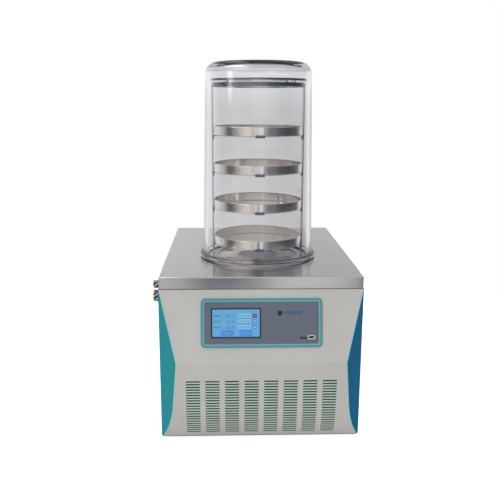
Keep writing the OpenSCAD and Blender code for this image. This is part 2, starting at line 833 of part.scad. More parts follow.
module vacuum_tube() {
    flange_t = 3;
    taper = 4;
    from_y = chamber_y + well_out + seat_gap;
    end_y = body_d + vac_reach;
    color([0.8, 0.8, 0.8]) place() translate([0, 0, body_h - vac_drop]) rotate([-90, 0, 0])
        difference() {
            union() {
                translate([0, 0, from_y]) cylinder(h = end_y - from_y, r = vac_tube_r);
                translate([0, 0, end_y - flange_t]) cylinder(h = flange_t, r = vac_flange_r);
                translate([0, 0, end_y - flange_t - taper])
                    cylinder(h = taper, r1 = vac_tube_r, r2 = vac_flange_r);
                translate([0, 0, rear_out]) cylinder(h = 4, r = vac_tube_r + 4.5);
            }
            translate([0, 0, chamber_y]) cylinder(h = body_d, r = vac_bore_r);
        }
}

// ---- drain and air fittings ----

module drain_pipe() {
    a = [0, chamber_y, well_z];
    b = [0, chamber_y, drain_h];
    c = [0, rear_out, drain_h];
    color([0.7, 0.7, 0.7]) place() difference() {
        tube_run([a, b, c], drain_pipe_r);
        rod(a + [0, 0, over], b, drain_r);
        rod(b, c + [0, over, 0], drain_r);
    }
}

module drain_valve() {
    nipple_l = 20;
    stem_l = 20;
    end_y = body_d + drain_reach;
    color([0.78, 0.66, 0.35]) place() translate([0, 0, drain_h]) rotate([-90, 0, 0])
        difference() {
            union() {
                translate([0, 0, rear_out]) cylinder(h = 3, r = 12);
                translate([0, 0, rear_out]) cylinder(h = end_y - rear_out - nipple_l + 2, r = 9);
                translate([0, 0, valve_y - 9]) cylinder(h = 18, r = 13, $fn = 6);
                translate([0, 0, end_y - nipple_l]) cylinder(h = nipple_l, r = drain_r);
                translate([0, 0, valve_y]) rotate([90, 0, 0]) union() {
                    cylinder(h = stem_l, r = stem_r, $fn = 48);
                    translate([0, 0, lever_z + lever_hub + seat_gap])
                        cylinder(h = 3, r = 6.5, $fn = 6);
                }
            }
            translate([0, 0, rear_out - over]) cylinder(h = body_d, r = drain_r - 1.5);
        }
}

module drain_lever() {
    arm_l = 46;
    arm_w = 10;
    arm_t = 3;
    color([0.75, 0.12, 0.1]) place() translate([0, valve_y, drain_h + lever_z]) difference() {
        union() {
            cylinder(h = lever_hub, r = 8);
            translate([0, -arm_w / 2, 1]) cube([arm_l, arm_w, arm_t]);
            translate([arm_l, 0, 1]) cylinder(h = arm_t, r = arm_w / 2, $fn = 48);
        }
        translate([0, 0, -over])
            cylinder(h = lever_hub + 2 * over, r = stem_r + run_gap, $fn = 48);
    }
}

// Axis of a side fitting, with +Z out of the left side panel
module at_fitting(z) {
    place() translate([fitting_x, fitting_back, z]) rotate([0, -90, 0]) children();
}

// Round grip with small flutes around it
module grip(r, h, flutes) {
    linear_extrude(h) difference() {
        circle(r = r);
        for (k = [0 : flutes - 1]) rotate(k * 360 / flutes)
            translate([r + 0.4, 0]) circle(r = 1.1, $fn = 24);
    }
}

module air_valve() {
    bore_l = 16;
    color([0.7, 0.7, 0.7]) at_fitting(knob_z) difference() {
        union() {
            cylinder(h = 3, r = 10);
            translate([0, 0, -valve_inner]) cylinder(h = valve_inner, r = 6.8);
            translate([0, 0, -sheet - 5]) cylinder(h = 5, r = 10, $fn = 6);
            cylinder(h = side_reach - 1 - seat_gap, r = spindle_r, $fn = 48);
        }
        translate([0, 0, -valve_inner - over])
            cylinder(h = bore_l, r = air_line_r - 1, $fn = 48);
    }
}

module air_knob() {
    low = 3 + seat_gap;
    color([0.25, 0.26, 0.27]) at_fitting(knob_z) difference() {
        union() {
            translate([0, 0, low]) grip(knob_r, side_reach - low - 1, 20);
            translate([0, 0, side_reach - 1]) cylinder(h = 1, r = knob_r - 2);
        }
        translate([0, 0, low - over])
            cylinder(h = side_reach - low, r = spindle_r + run_gap, $fn = 48);
        translate([knob_r / 2, -0.6, side_reach - 0.5]) cube([knob_r / 2, 1.2, 1]);
    }
}

module gas_port() {
    color([0.6, 0.6, 0.6]) at_fitting(cap_z) union() {
        cylinder(h = 3, r = 8);
        translate([0, 0, -port_inner]) cylinder(h = port_inner, r = 4.8, $fn = 48);
        translate([0, 0, -sheet - 4]) cylinder(h = 4, r = 8, $fn = 6);
        cylinder(h = side_reach - 2, r = 5, $fn = 48);
        translate([0, 0, 5]) grip(cap_r, side_reach - 6, 16);
        translate([0, 0, side_reach - 1]) cylinder(h = 1, r = cap_r - 1.5);
    }
}

// Hole on the line from the air fittings to the trap's axis
module air_hole(r) {
    translate([0, chamber_y, line_turn[2]]) rotate([0, -90, air_angle])
        cylinder(h = half_w, r = r, $fn = 48);
}

module air_line() {
    to_trap = [cos(air_angle), sin(air_angle), 0];
    end = [0, chamber_y, line_turn[2]] - (well_out + seat_gap) * to_trap;
    color([0.7, 0.7, 0.7]) place() difference() {
        union() {
            tube_run([valve_in, line_turn, end], air_line_r);
            tube_run([port_in, [line_turn[0], fitting_back, port_in[2]], line_turn], air_line_r);
        }
        rod(line_turn, end + to_trap, air_line_r - 1);
    }
}

// ---- cooling set ----

module compressor() {
    shoulder = 26;
    color([0.09, 0.09, 0.1]) place() difference() {
        union() {
            translate([comp_x, comp_y, comp_z]) rotate_extrude()
                polygon(concat([[0, 0], [comp_r - 12, 0], [comp_r, 14]],
                    [for (a = [0 : 15 : 90]) [comp_r - shoulder + shoulder * cos(a),
                                              comp_h - shoulder + shoulder * sin(a)]],
                    [[0, comp_h]]));
            translate([comp_x - comp_foot, comp_y - comp_foot, comp_z - 3])
                cube([2 * comp_foot, 2 * comp_foot, 3.5]);
            rod([comp_x, comp_y, stub_end[2]], stub_end, line_r + 1);
            rod([comp_x, comp_y, out_end[2]], out_end, line_r + 1);
            translate([comp_x - 22, comp_y - comp_r - 16, comp_z + 55]) cube([44, 30, 48]);
        }
        for (p = comp_bolt_at)
            translate([p[0], p[1], comp_z - 3 - over]) cylinder(h = 6, r = 5, $fn = 48);
    }
}

module compressor_mounts() {
    color([0.12, 0.12, 0.12]) place() for (p = comp_bolt_at)
        translate([p[0], p[1], floor_z]) difference() {
            union() {
                cylinder(h = comp_lift, r = 10, $fn = 48);
                cylinder(h = comp_lift + 5, r = 4.9, $fn = 48);
            }
            translate([0, 0, -over]) cylinder(h = comp_lift + 8, r = foot_hole_r, $fn = 32);
        }
}

module compressor_bolts() {
    color([0.7, 0.7, 0.7]) place() for (p = comp_bolt_at)
        translate([p[0], p[1], foot_h - bolt_head_h]) union() {
            cylinder(h = bolt_head_h, r = bolt_head_r, $fn = 32);
            cylinder(h = comp_lift + sheet + 13, r = bolt_r, $fn = 32);
            translate([0, 0, comp_lift + sheet + 8]) cylinder(h = 4, r = bolt_head_r, $fn = 6);
        }
}

module condenser() {
    plates = 12;
    tube_rows = 5;
    plate = 3;
    end_t = 5;
    tube_r = 4.5;
    step = (cond_w - 12) / (plates - 1);
    color([0.6, 0.62, 0.63]) place() union() {
        for (k = [0 : plates - 1])
            translate([-cond_w / 2 + 6 + k * step - plate / 2, cond_y, cond_z])
                cube([plate, cond_d, cond_h]);
        for (k = [0 : tube_rows - 1], y = [0.3, 0.7]) {
            at = [0, cond_y + cond_d * y, cond_z + cond_h * (k + 0.5) / tube_rows];
            rod(at - [cond_w / 2, 0, 0], at + [cond_w / 2, 0, 0], tube_r);
        }
        for (x = [-cond_w / 2, cond_w / 2 - end_t])
            translate([x, cond_y, floor_z]) cube([end_t, cond_d, cond_h + 6]);
    }
}

module fan_shroud() {
    color([0.3, 0.31, 0.32]) place() difference() {
        union() {
            difference() {
                translate([-cond_w / 2, shroud_y, cond_z]) cube([cond_w, shroud_d, cond_h]);
                translate([-cond_w / 2 + sheet, shroud_y - over, cond_z + sheet])
                    cube([cond_w - 2 * sheet, shroud_d - sheet + over, cond_h - 2 * sheet]);
            }
            translate([0, ring_y - sheet, fan_z]) rotate([-90, 0, 0])
                cylinder(h = fan_ring_d + sheet, r = fan_tip + sheet);
        }
        translate([0, shroud_y - over, fan_z]) rotate([-90, 0, 0])
            cylinder(h = shroud_d + fan_ring_d + 2 * over, r = fan_tip);
    }
}

module fan_bracket() {
    arm_w = 10;
    color([0.2, 0.2, 0.2]) place() translate([0, ring_y + fan_ring_d, fan_z]) rotate([-90, 0, 0])
        linear_extrude(bar_t) difference() {
            union() {
                circle(r = 30);
                for (a = [45 : 90 : 315]) rotate(a) translate([0, -arm_w / 2])
                    square([fan_tip + sheet, arm_w]);
            }
            circle(r = 12, $fn = 48);
        }
}

module fan_motor() {
    motor_r = 32;
    motor_l = 42;
    shaft_l = bar_t + fan_ring_d + 2;
    color([0.15, 0.15, 0.16]) place() translate([0, motor_y, fan_z]) rotate([-90, 0, 0]) union() {
        difference() {
            cylinder(h = motor_l, r = motor_r);
            for (k = [0 : 11]) rotate(k * 30) translate([motor_r, 0, 8])
                cylinder(h = motor_l - 16, r = 2.5, $fn = 24);
        }
        translate([0, 0, -shaft_l]) cylinder(h = shaft_l, r = shaft_r);
    }
}

module fan_rotor() {
    hub_r = 18;
    hub_h = 12;
    blades = 5;
    chord = 30;
    blade_t = 2;
    color([0.85, 0.85, 0.83]) place() translate([0, ring_y + 2, fan_z]) rotate([-90, 0, 0])
        difference() {
            union() {
                cylinder(h = hub_h, r = hub_r);
                intersection() {
                    for (k = [0 : blades - 1]) rotate(k * 360 / blades)
                        translate([hub_r - 2, 0, hub_h / 2]) rotate([24, 0, 0])
                            translate([0, -chord / 2, -blade_t / 2])
                                cube([fan_r, chord, blade_t]);
                    cylinder(h = hub_h, r = fan_r);
                }
            }
            translate([0, 0, -over]) cylinder(h = hub_h + 2 * over, r = shaft_r + run_gap);
        }
}

module filter_drier() {
    neck = 12;
    color([0.72, 0.45, 0.3]) place() translate([-side_run, chamber_y, drier_low]) union() {
        translate([0, 0, neck]) cylinder(h = drier_l - 2 * neck, r = drier_r);
        cylinder(h = neck, r1 = 4, r2 = drier_r);
        translate([0, 0, drier_l - neck]) cylinder(h = neck, r1 = drier_r, r2 = 2.5);
    }
}

module discharge_line() {
    high = cond_z + cond_h * 0.9;
    turn = out_end + out_dir * 12;
    run_y = out_end[1] - 40;
    y = cond_y + cond_d * 0.3;
    color([0.72, 0.45, 0.3]) place()
        tube_run([out_end, turn, [turn[0], turn[1], high], [side_run, run_y, high],
                  [side_run, y, high], [cond_w / 2, y, high]], line_r - 1);
}

module liquid_line() {
    low = cond_z + cond_h * 0.1;
    y = cond_y + cond_d * 0.7;
    out = foam_out + 12;
    run_z = coil_low - 20;
    coil_axis = [0, chamber_y, 0];
    color([0.72, 0.45, 0.3]) place() union() {
        tube_run([[-cond_w / 2, y, low], [-side_run, y, low], [-side_run, chamber_y, low],
                  [-side_run, chamber_y, drier_low]], line_r - 1);
        tube_run([[-side_run, chamber_y, drier_low + drier_l], [-side_run, chamber_y, run_z],
                  [-side_run, chamber_y + out, run_z],
                  coil_axis + coil_entry * out + [0, 8, run_z],
                  coil_axis + coil_entry * out + [0, 0, coil_low],
                  coil_axis + coil_entry * coil_outer + [0, 0, coil_low]], thin_line_r);
    }
}

// Both small copper lines, from the compressor to the condenser and on to the coil
module copper_lines() {
    discharge_line();
    liquid_line();
}

module suction_line() {
    coil_end = [0, chamber_y, coil_high];
    drop = stub_end + stub_dir * 8;
    color([0.72, 0.45, 0.3]) place()
        tube_run([coil_end + coil_entry * coil_outer, coil_end + coil_entry * (foam_out + 12),
                  [drop[0], drop[1], coil_high], drop, stub_end], line_r);
}

// ---- mains ----

module power_supply() {
    box = [100, 90, 110];
    color([0.65, 0.66, 0.67]) place() translate([-178, comp_y - 40, floor_z]) difference() {
        cube(box);
        for (k = [0 : 6]) translate([12 + 12 * k, 10, box[2] - 3]) cube([4, box[1] - 20, 4]);
    }
}

module power_inlet() {
    well = [24, 17];
    pin_l = 13;
    color([0.1, 0.1, 0.1]) place() translate([inlet_x, rear_out, inlet_z]) difference() {
        union() {
            translate([-25, 0, -13]) cube([50, 3, 26]);
            translate([-13.5, -22, -10.5]) cube([27, 22 + over, 21]);
        }
        difference() {
            translate([-well[0] / 2, -16, -well[1] / 2]) cube([well[0], 20, well[1]]);
            for (x = [-7, 0, 7])
                translate([x - 1, -17, x == 0 ? 0.5 : -4.5]) cube([2, pin_l + 1, 4]);
        }
    }
}

module switch_frame() {
    color([0.1, 0.1, 0.1]) place() translate([switch_x, rear_out, inlet_z]) difference() {
        union() {
            translate([-12, 0, -9]) cube([24, 2, 18]);
            translate([-9.8, -18, -6.8]) cube([19.6, 18 + over, 13.6]);
        }
        translate([-8, -12, -5.4]) cube([16, 15, 10.8]);
        translate([0, rocker_in, 0]) rotate([0, 90, 0])
            cylinder(h = 18.4, r = rocker_pin_r + run_gap, center = true, $fn = 32);
    }
}

// Rocker at rest with its upper half out
module switch_rocker() {
    color([0.75, 0.1, 0.08]) place() translate([switch_x, rear_out + rocker_in, inlet_z]) union() {
        rotate([90, 0, 90]) rotate(-rocker_tilt) linear_extrude(15, center = true)
            polygon([[-5, -2.5], [-5, 2.5], [1, 4.6], [4.2, 4.6],
                     [3, 0], [4.2, -4.6], [1, -4.6]]);
        rotate([0, 90, 0]) cylinder(h = 17.6, r = rocker_pin_r, center = true, $fn = 32);
    }
}

deck_plate();
front_panel();
left_side_panel();
right_side_panel();
rear_panel();
base_pan();
corner_posts();
deck_rails();
rubber_feet();
foot_bolts();
rear_panel_screws();
panel_bezel();
panel_fascia();
display_rim();
display_glass();
display_module();
data_socket();
control_board();
bell_jar();
jar_cap();
jar_seal();
stand_plate();
rack_frame();
rack_plate();
rack_spacers();
shelf(0);  // shelf_1
shelf(1);  // shelf_2
shelf(2);  // shelf_3
shelf(3);  // shelf_4
tray(0);  // tray_1
tray(1);  // tray_2
tray(2);  // tray_3
tray(3);  // tray_4
trap_well();
cooling_coil();
trap_foam();
trap_probe();
vacuum_tube();
drain_pipe();
drain_valve();
drain_lever();
air_valve();
air_knob();
gas_port();
air_line();
compressor();
compressor_mounts();
compressor_bolts();
condenser();
fan_shroud();
fan_bracket();
fan_motor();
fan_rotor();
filter_drier();
copper_lines();
suction_line();
power_supply();
power_inlet();
switch_frame();
switch_rocker();
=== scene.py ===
import math
from math import cos, pi, radians, sin

import bmesh
import bpy
from mathutils import Matrix, Vector


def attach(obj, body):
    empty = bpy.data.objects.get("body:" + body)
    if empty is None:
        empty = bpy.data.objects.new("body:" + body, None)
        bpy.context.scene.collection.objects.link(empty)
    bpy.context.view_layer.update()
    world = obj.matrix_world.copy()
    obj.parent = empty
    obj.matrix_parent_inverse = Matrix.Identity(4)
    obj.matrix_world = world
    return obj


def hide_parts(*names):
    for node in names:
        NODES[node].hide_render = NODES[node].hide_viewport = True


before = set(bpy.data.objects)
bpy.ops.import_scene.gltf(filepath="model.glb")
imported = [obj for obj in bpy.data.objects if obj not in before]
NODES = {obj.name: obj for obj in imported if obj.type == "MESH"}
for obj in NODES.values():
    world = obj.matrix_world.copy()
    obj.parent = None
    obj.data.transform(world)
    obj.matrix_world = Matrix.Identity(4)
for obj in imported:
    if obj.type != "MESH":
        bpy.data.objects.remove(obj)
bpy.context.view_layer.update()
bpy.context.scene.view_settings.view_transform = "Standard"

# Where the middle of the cabinet's front and the foot of the chamber lie in the part's frame, in
# metres, then the cabinet's half width, depth and height and its sheet thickness
SHIFT_X, SHIFT_Y = 0.009, -0.2725
CHAMBER = Vector((0.009, -0.0725, 0.360))
HALF_W, BODY_D, BODY_H = 0.212, 0.536, 0.360
SHEET = 0.0015
RIGHT = Vector((1, 0, 0))


def show(obj):
    """Puts an object in the scene."""
    bpy.context.scene.collection.objects.link(obj)
    return obj


def axes_at(origin, right, up, out):
    """The matrix that stands an object at a point on three axes."""
    return Matrix.Translation(origin) @ Matrix((right, up, out)).transposed().to_4x4()


# ---------------------------------------------------------------- camera
EYE = Vector((-0.0572, -1.5631, 0.7071))
YAW, PITCH, ROLL = radians(1.88), radians(-12.72), radians(0.22)
LENS_MM, SENSOR_MM, NEAR = 47.1, 36.0, 0.05


def camera():
    """The photograph's viewpoint: slightly left of the middle, looking down at the deck."""
    data = bpy.data.cameras.new("view")
    data.lens, data.sensor_width, data.clip_start = LENS_MM, SENSOR_MM, NEAR
    cam = show(bpy.data.objects.new("view", data))
    forward = Vector((sin(YAW) * cos(PITCH), cos(YAW) * cos(PITCH), sin(PITCH)))
    right = Vector((cos(YAW), -sin(YAW), 0))
    up = right.cross(forward)
    cam.matrix_world = axes_at(EYE, right * cos(ROLL) + up * sin(ROLL),
                               up * cos(ROLL) - right * sin(ROLL), -forward)
    bpy.context.scene.camera = cam


camera()


# ---------------------------------------------------------------- materials
# Nearly all of a noise lies in this span
NOISE_SPAN = (0.35, 0.65)


class Graph:
    """A node tree with helpers that take sockets or constants."""

    def __init__(self, tree):
        self.tree = tree

    def node(self, kind, **values):
        n = self.tree.nodes.new(kind)
        for key, value in values.items():
            setattr(n, key, value)
        return n

    def put(self, value, socket):
        """Links a socket, or sets a constant; a colour needs only its three parts."""
        if isinstance(value, bpy.types.NodeSocket):
            self.tree.links.new(value, socket)
        else:
            socket.default_value = (*value, 1) if socket.type == "RGBA" else value

    def remap(self, value, a, b, low=0.0, high=1.0):
        """Maps the range from a to b onto low to high, and no further."""
        m = self.node("ShaderNodeMapRange")
        for name, v in (("From Min", a), ("From Max", b), ("To Min", low), ("To Max", high)):
            m.inputs[name].default_value = v
        self.put(value, m.inputs["Value"])
        return m.outputs["Result"]

    def math(self, kind, a, b):
        m = self.node("ShaderNodeMath", operation=kind)
        self.put(a, m.inputs[0])
        self.put(b, m.inputs[1])
        return m.outputs[0]

    def mix(self, factor, a, b):
        """A colour between a and b."""
        m = self.node("ShaderNodeMix", data_type="RGBA")
        for name, v in (("Factor", factor), ("A", a), ("B", b)):
            self.put(v, m.inputs[name])
        return m.outputs["Result"]

    def pick(self, factor, first, second):
        """One shader or another."""
        m = self.node("ShaderNodeMixShader")
        self.put(factor, m.inputs["Fac"])
        self.put(first, m.inputs[1])
        self.put(second, m.inputs[2])
        return m.outputs[0]


class Shader(Graph):
    """A principled material with helpers for procedural detail in object coordinates."""

    def __init__(self, name, color, rough=0.5, metal=0.0, **sockets):
        self.mat = bpy.data.materials.new(name)
        self.mat.use_nodes = True
        super().__init__(self.mat.node_tree)
        self.bsdf = self.tree.nodes["Principled BSDF"]
        self.out = self.tree.nodes["Material Output"]
        self.coords = self.node("ShaderNodeTexCoord").outputs["Object"]
        self.set(Base_Color=color, Roughness=rough, Metallic=metal, **sockets)

    def set(self, **sockets):
        """Sets or links sockets of the principled node."""
        for key, value in sockets.items():
            self.put(value, self.bsdf.inputs[key.replace("_", " ")])

    def noise(self, size, detail, rough, stretch=(1, 1, 1)):
        """Cloudy noise of a given fineness, stretched along the axes."""
        m = self.node("ShaderNodeMapping")
        m.inputs["Scale"].default_value = stretch
        self.put(self.coords, m.inputs["Vector"])
        n = self.node("ShaderNodeTexNoise")
        for name, v in (("Vector", m.outputs["Vector"]), ("Scale", size), ("Detail", detail),
                        ("Roughness", rough)):
            self.put(v, n.inputs[name])
        return n.outputs["Fac"]

    def along(self, axis, centre=None):
        """The place along an axis, or the distance from a centre on it."""
        sep = self.node("ShaderNodeSeparateXYZ")
        self.put(self.coords, sep.inputs[0])
        if centre is None:
            return sep.outputs[axis]
        return self.math("ABSOLUTE", self.math("SUBTRACT", sep.outputs[axis], centre), 0.0)

    def tint(self, value, low, high, span=NOISE_SPAN):
        """Colours the surface from low to high as a value goes through a span."""
        self.set(Base_Color=self.mix(self.remap(value, *span), low, high))

    def roughen(self, value, low, high):
        """Varies the roughness from low to high as a noise goes through its span."""
        self.set(Roughness=self.remap(value, *NOISE_SPAN, low, high))

    def bump(self, value, strength, distance):
        """Raises the surface where a value is high, by a distance in metres."""
        b = self.node("ShaderNodeBump")
        for name, v in (("Strength", strength), ("Distance", distance), ("Height", value)):
            self.put(v, b.inputs[name])
        self.set(Normal=b.outputs["Normal"])


def shade(color, k):
    """A colour made k times as bright."""
    return tuple(min(1.0, c * k) for c in color)


def brushed(name, color, grain, rough, contrast, fine, aniso=0.0, turned=False, depth=0.12,
            metal=1.0):
    """Brushed steel: grain is its scratches' stretch, aniso how far they smear a highlight."""
    s = Shader(name, color, rough, metal)
    lines = s.noise(fine, 4.0, 0.7, grain)
    cloud = s.noise(6.0, 2.0, 0.5)
    s.tint(lines, shade(color, 1 - contrast), shade(color, 1 + contrast))
    s.roughen(cloud, rough * 0.9, rough * 1.12)
    s.bump(lines, depth, 0.0002)
    if aniso:
        around = {"direction_type": "RADIAL", "axis": "Z"}
        lengthways = {"direction_type": "UV_MAP", "uv_map": "grain"}
        tangent = s.node("ShaderNodeTangent", **(around if turned else lengthways))
        s.set(Anisotropic=aniso, Anisotropic_Rotation=0.25, Tangent=tangent.outputs["Tangent"])
    return s.mat


def painted(name, color, rough, peel, coat=0.0, gloss=0.5):
    """Sprayed or moulded finish with fine orange peel and a faint cloud."""
    s = Shader(name, color, rough, 0.0, Coat_Weight=coat, Coat_Roughness=0.15,
               Specular_IOR_Level=gloss)
    grain = s.noise(900.0, 3.0, 0.6)
    cloud = s.noise(9.0, 2.0, 0.5)
    s.tint(cloud, shade(color, 0.97), shade(color, 1.03))
    s.roughen(grain, rough * 0.9, rough * 1.12)
    s.bump(grain, peel, 0.0003)
    return s.mat


def graded(name, low, high, axis, start, end, rough=0.6, gloss=0.5, centre=None, metal=0.0):
    """Drifts from one colour to another between two places, in metres, along an axis or out from
    a centre on it."""
    s = Shader(name, high, rough, metal, Specular_IOR_Level=gloss)
    s.tint(s.along(axis, centre), low, high, (start, end))
    grain = s.noise(900.0, 3.0, 0.6)
    s.roughen(grain, rough * 0.9, min(rough * 1.12, 1.0))
    s.bump(grain, 0.08, 0.0003)
    return s.mat


def knurled(name, dark, light):
    """Dark metal with coarse bright diagonal ridges."""
    s = Shader(name, dark, 0.3, 1.0)
    m = s.node("ShaderNodeMapping")
    m.inputs["Rotation"].default_value = (radians(38), radians(38), 0)
    s.put(s.coords, m.inputs["Vector"])
    w = s.node("ShaderNodeTexWave", wave_type="BANDS", bands_direction="Z")
    for name, v in (("Vector", m.outputs["Vector"]), ("Scale", 42.0), ("Distortion", 2.5),
                    ("Detail", 1.0)):
        s.put(v, w.inputs[name])
    s.tint(w.outputs["Fac"], dark, light)
    s.bump(w.outputs["Fac"], 0.4, 0.0006)
    return s.mat


def cast(name, color, rough, metal, size=400.0, depth=0.2):
    """Plain turned or moulded stock with small wear."""
    s = Shader(name, color, rough, metal)
    grain = s.noise(size, 4.0, 0.6)
    s.tint(grain, shade(color, 0.9), shade(color, 1.1))
    s.roughen(grain, rough * 0.8, rough * 1.25)
    s.bump(grain, depth, 0.0002)
    return s.mat


# How often a ray may bounce in the jar's wall before it goes straight out: in the middle, and in
# the top's two corners; then where those corners begin and end, out from the axis and upwards
BOUNCES = (6.5, 3.5)
CORNER_X, CORNER_Z = (0.066, 0.080), (0.735, 0.755)


def clear_acrylic():
    """Clear plastic; shadow rays and rays trapped in the wall for long go straight out."""
    s = Shader("clear_acrylic", (0.985, 0.985, 1.0), 0.0, 0.0, IOR=1.49,
               Transmission_Weight=1.0)
    haze = s.noise(7.0, 3.0, 0.6, (1, 1, 0.3))
    s.roughen(haze, 0.0, 0.012)
    path = s.node("ShaderNodeLightPath")
    corner = s.math("MINIMUM", s.remap(s.along("X", CHAMBER.x), *CORNER_X),
                    s.remap(s.along("Z"), *CORNER_Z))
    late = s.math("GREATER_THAN", path.outputs["Ray Depth"], s.remap(corner, 0, 1, *BOUNCES))
    either = s.math("MAXIMUM", path.outputs["Is Shadow Ray"], late)
    clear = s.node("ShaderNodeBsdfTransparent")
    clear.inputs["Color"].default_value = (0.93, 0.93, 0.94, 1)
    s.put(s.pick(either, s.bsdf.outputs[0], clear.outputs[0]), s.out.inputs["Surface"])
    soak = s.node("ShaderNodeVolumeAbsorption")
    soak.inputs["Color"].default_value = (0.38, 0.28, 0.42, 1)
    soak.inputs["Density"].default_value = 3.0
    s.put(soak.outputs["Volume"], s.out.inputs["Volume"])
    return s.mat


def screen(name, color, power):
    """A lit display colour."""
    s = Shader(name, color, 0.25, 0.0, Coat_Weight=0.4, Coat_Roughness=0.05)
    cells = s.noise(2500.0, 1.0, 0.5)
    s.tint(cells, shade(color, 0.96), shade(color, 1.04))
    s.set(Emission_Color=color, Emission_Strength=power)
    return s.mat


CREAM = (0.60, 0.59, 0.565)
M = {
    "deck": brushed("deck_steel", (0.64, 0.635, 0.62), (1, 16, 16), 0.14, 0.05, 420.0, 0.9,
                    depth=0.06),
    "tray": brushed("tray_steel", (0.82, 0.79, 0.77), (1, 1, 0.03), 0.13, 0.09, 420.0, 0.6,
                    turned=True, depth=0.1),
    # a lighter, part-diffuse copy of the tray steel for the trays' insides: painted light
    "tray_floor": brushed("tray_floor_steel", (0.98, 0.93, 0.88), (1, 1, 1), 0.22, 0.06, 300.0,
                          metal=0.5),
    "frosted": cast("frosted_steel", (0.62, 0.62, 0.63), 0.6, 0.2, 200.0, 0.3),
    "polished": brushed("polished_steel", (0.90, 0.93, 0.96), (1, 1, 1), 0.07, 0.03, 160.0),
    # the stand plate is light and warm on its left and dark on its right: a painted reflection of
    # the lit side
    "stand": graded("stand_steel_painted_reflection", (0.86, 0.77, 0.71), (0.36, 0.345, 0.36), "X", -0.009, -0.002,
                    0.3, metal=1.0),
    "bar": brushed("bar_steel", (0.44, 0.45, 0.47), (4, 4, 1), 0.25, 0.08, 500.0),
    "dark_bar": brushed("dark_bar_steel", (0.12, 0.14, 0.17), (1, 4, 4), 0.3, 0.1, 500.0),
    # dark bluish steel for the upright edges at the rack's top: a painted dark reflection
    "painted_dark_edge": brushed("plate_edge_steel", (0.15, 0.19, 0.23), (1, 1, 10), 0.3, 0.1, 300.0),
    "steel": brushed("plain_steel", (0.62, 0.62, 0.62), (1, 6, 6), 0.3, 0.08, 500.0),
    "zinc": cast("zinc_plate", (0.62, 0.63, 0.62), 0.35, 1.0),
    "cream": painted("cream_moulding", CREAM, 0.45, 0.05),
    "cream_steel": painted("cream_coat", CREAM, 0.5, 0.1),
    "teal": graded("teal_coat", (0.018, 0.30, 0.40), (0.024, 0.31, 0.30), "X", -0.207,
                   -0.172, 0.55, gloss=0.12),
    # a dark grey lip along the bottom edge: painted shade
    "base_lip": painted("base_lip_painted_shade", (0.27, 0.26, 0.245), 0.6, 0.05),
    "edge_line": painted("pale_edge_line", (0.44, 0.65, 0.68), 0.5, 0.05),
    "blue": painted("blue_coat", (0.005, 0.16, 0.32), 0.55, 0.08, gloss=0.12),
    "trim": painted("teal_trim", (0.078, 0.34, 0.37), 0.4, 0.04, gloss=0.3),
    "trim_light": painted("trim_light_line", (0.21, 0.47, 0.56), 0.4, 0.04, gloss=0.3),
    "slate": painted("slate_facing", (0.145, 0.17, 0.215), 0.45, 0.05, gloss=0.3),
    "rim": painted("display_rim_black", (0.012, 0.03, 0.055), 0.3, 0.04, gloss=0.3),
    "ink": painted("facing_ink", (0.02, 0.024, 0.03), 0.5, 0.02, gloss=0.3),
    "mark_blue": painted("facing_blue", (0.035, 0.13, 0.28), 0.5, 0.02, gloss=0.3),
    "rubber": cast("black_rubber", (0.02, 0.02, 0.02), 0.75, 0.0, 900.0, 0.3),
    # the seal turns near black towards its left and right ends: painted shade
    "silicone": graded("grey_silicone_painted_shade", (0.42, 0.42, 0.44), (0.03, 0.03, 0.035), "X", 0.09, 0.112,
                       0.45, centre=CHAMBER.x),
    "black": painted("black_enamel", (0.012, 0.012, 0.014), 0.3, 0.12, coat=0.4),
    "plastic": painted("black_plastic", (0.02, 0.02, 0.021), 0.5, 0.15),
    "pale": painted("pale_plastic", (0.62, 0.61, 0.58), 0.4, 0.05),
    "red": painted("red_plastic", (0.45, 0.02, 0.015), 0.3, 0.05, coat=0.3),
    "frame": painted("frame_coat", (0.06, 0.063, 0.065), 0.5, 0.1),
    "knob": knurled("knurled_metal", (0.05, 0.052, 0.055), (0.45, 0.46, 0.46)),
    "fin": cast("coated_fins", (0.035, 0.085, 0.07), 0.55, 0.0, 300.0, 0.3),
    # the cloth is lighter and greyer towards the bottom: painted light
    "filter": graded("filter_cloth_painted_light", (0.19, 0.27, 0.22), (0.018, 0.10, 0.065), "Z", 0.03, 0.06),
    # the slots' upward walls and the bars between them are tinted green, greener higher up: painted
    # green spill from the slots
    "slot_side_green_spill": painted("slot_side_green_spill", (0.24, 0.46, 0.36), 0.5, 0.05),
    "slot_bar_green_spill": graded("slot_bar_green_spill", (0.60, 0.61, 0.58), (0.59, 0.68, 0.62), "Z", 0.03, 0.09),
    "copper": cast("copper_tube", (0.72, 0.33, 0.18), 0.3, 1.0, 300.0),
    "brass": cast("brass", (0.66, 0.45, 0.18), 0.3, 1.0, 300.0),
    "board": painted("board_green", (0.01, 0.09, 0.035), 0.4, 0.1),
    "foam": cast("foam", (0.72, 0.62, 0.36), 0.9, 0.0, 500.0, 0.6),
    "acrylic": clear_acrylic(),
    "lcd": screen("display_pale_blue", (0.10, 0.35, 0.62), 0.24),
    "lcd_dark": screen("display_ink", (0.05, 0.18, 0.33), 0.24),
    "lcd_white": screen("display_box", (0.20, 0.46, 0.72), 0.26),
    "lcd_button": screen("display_button", (0.055, 0.23, 0.60), 0.26),
    "lcd_red": screen("display_red", (0.13, 0.05, 0.11), 0.35),
}


# ---------------------------------------------------------------- mesh helpers
# Points nearer than this are one point, and faces flatter than this are one face
SAME_POINT, SAME_PLANE = 2e-6, radians(0.5)


def add(name, verts, faces, mat, slot, replaces=(), sharp=35.0):
    """Makes a piece of the cabinet from a point and face list."""
    me = bpy.data.meshes.new(name)
    me.from_pydata([tuple(v) for v in verts], [], faces)
    me.validate()
    return finish_piece(name, me, mat, "cabinet", replaces, sharp)


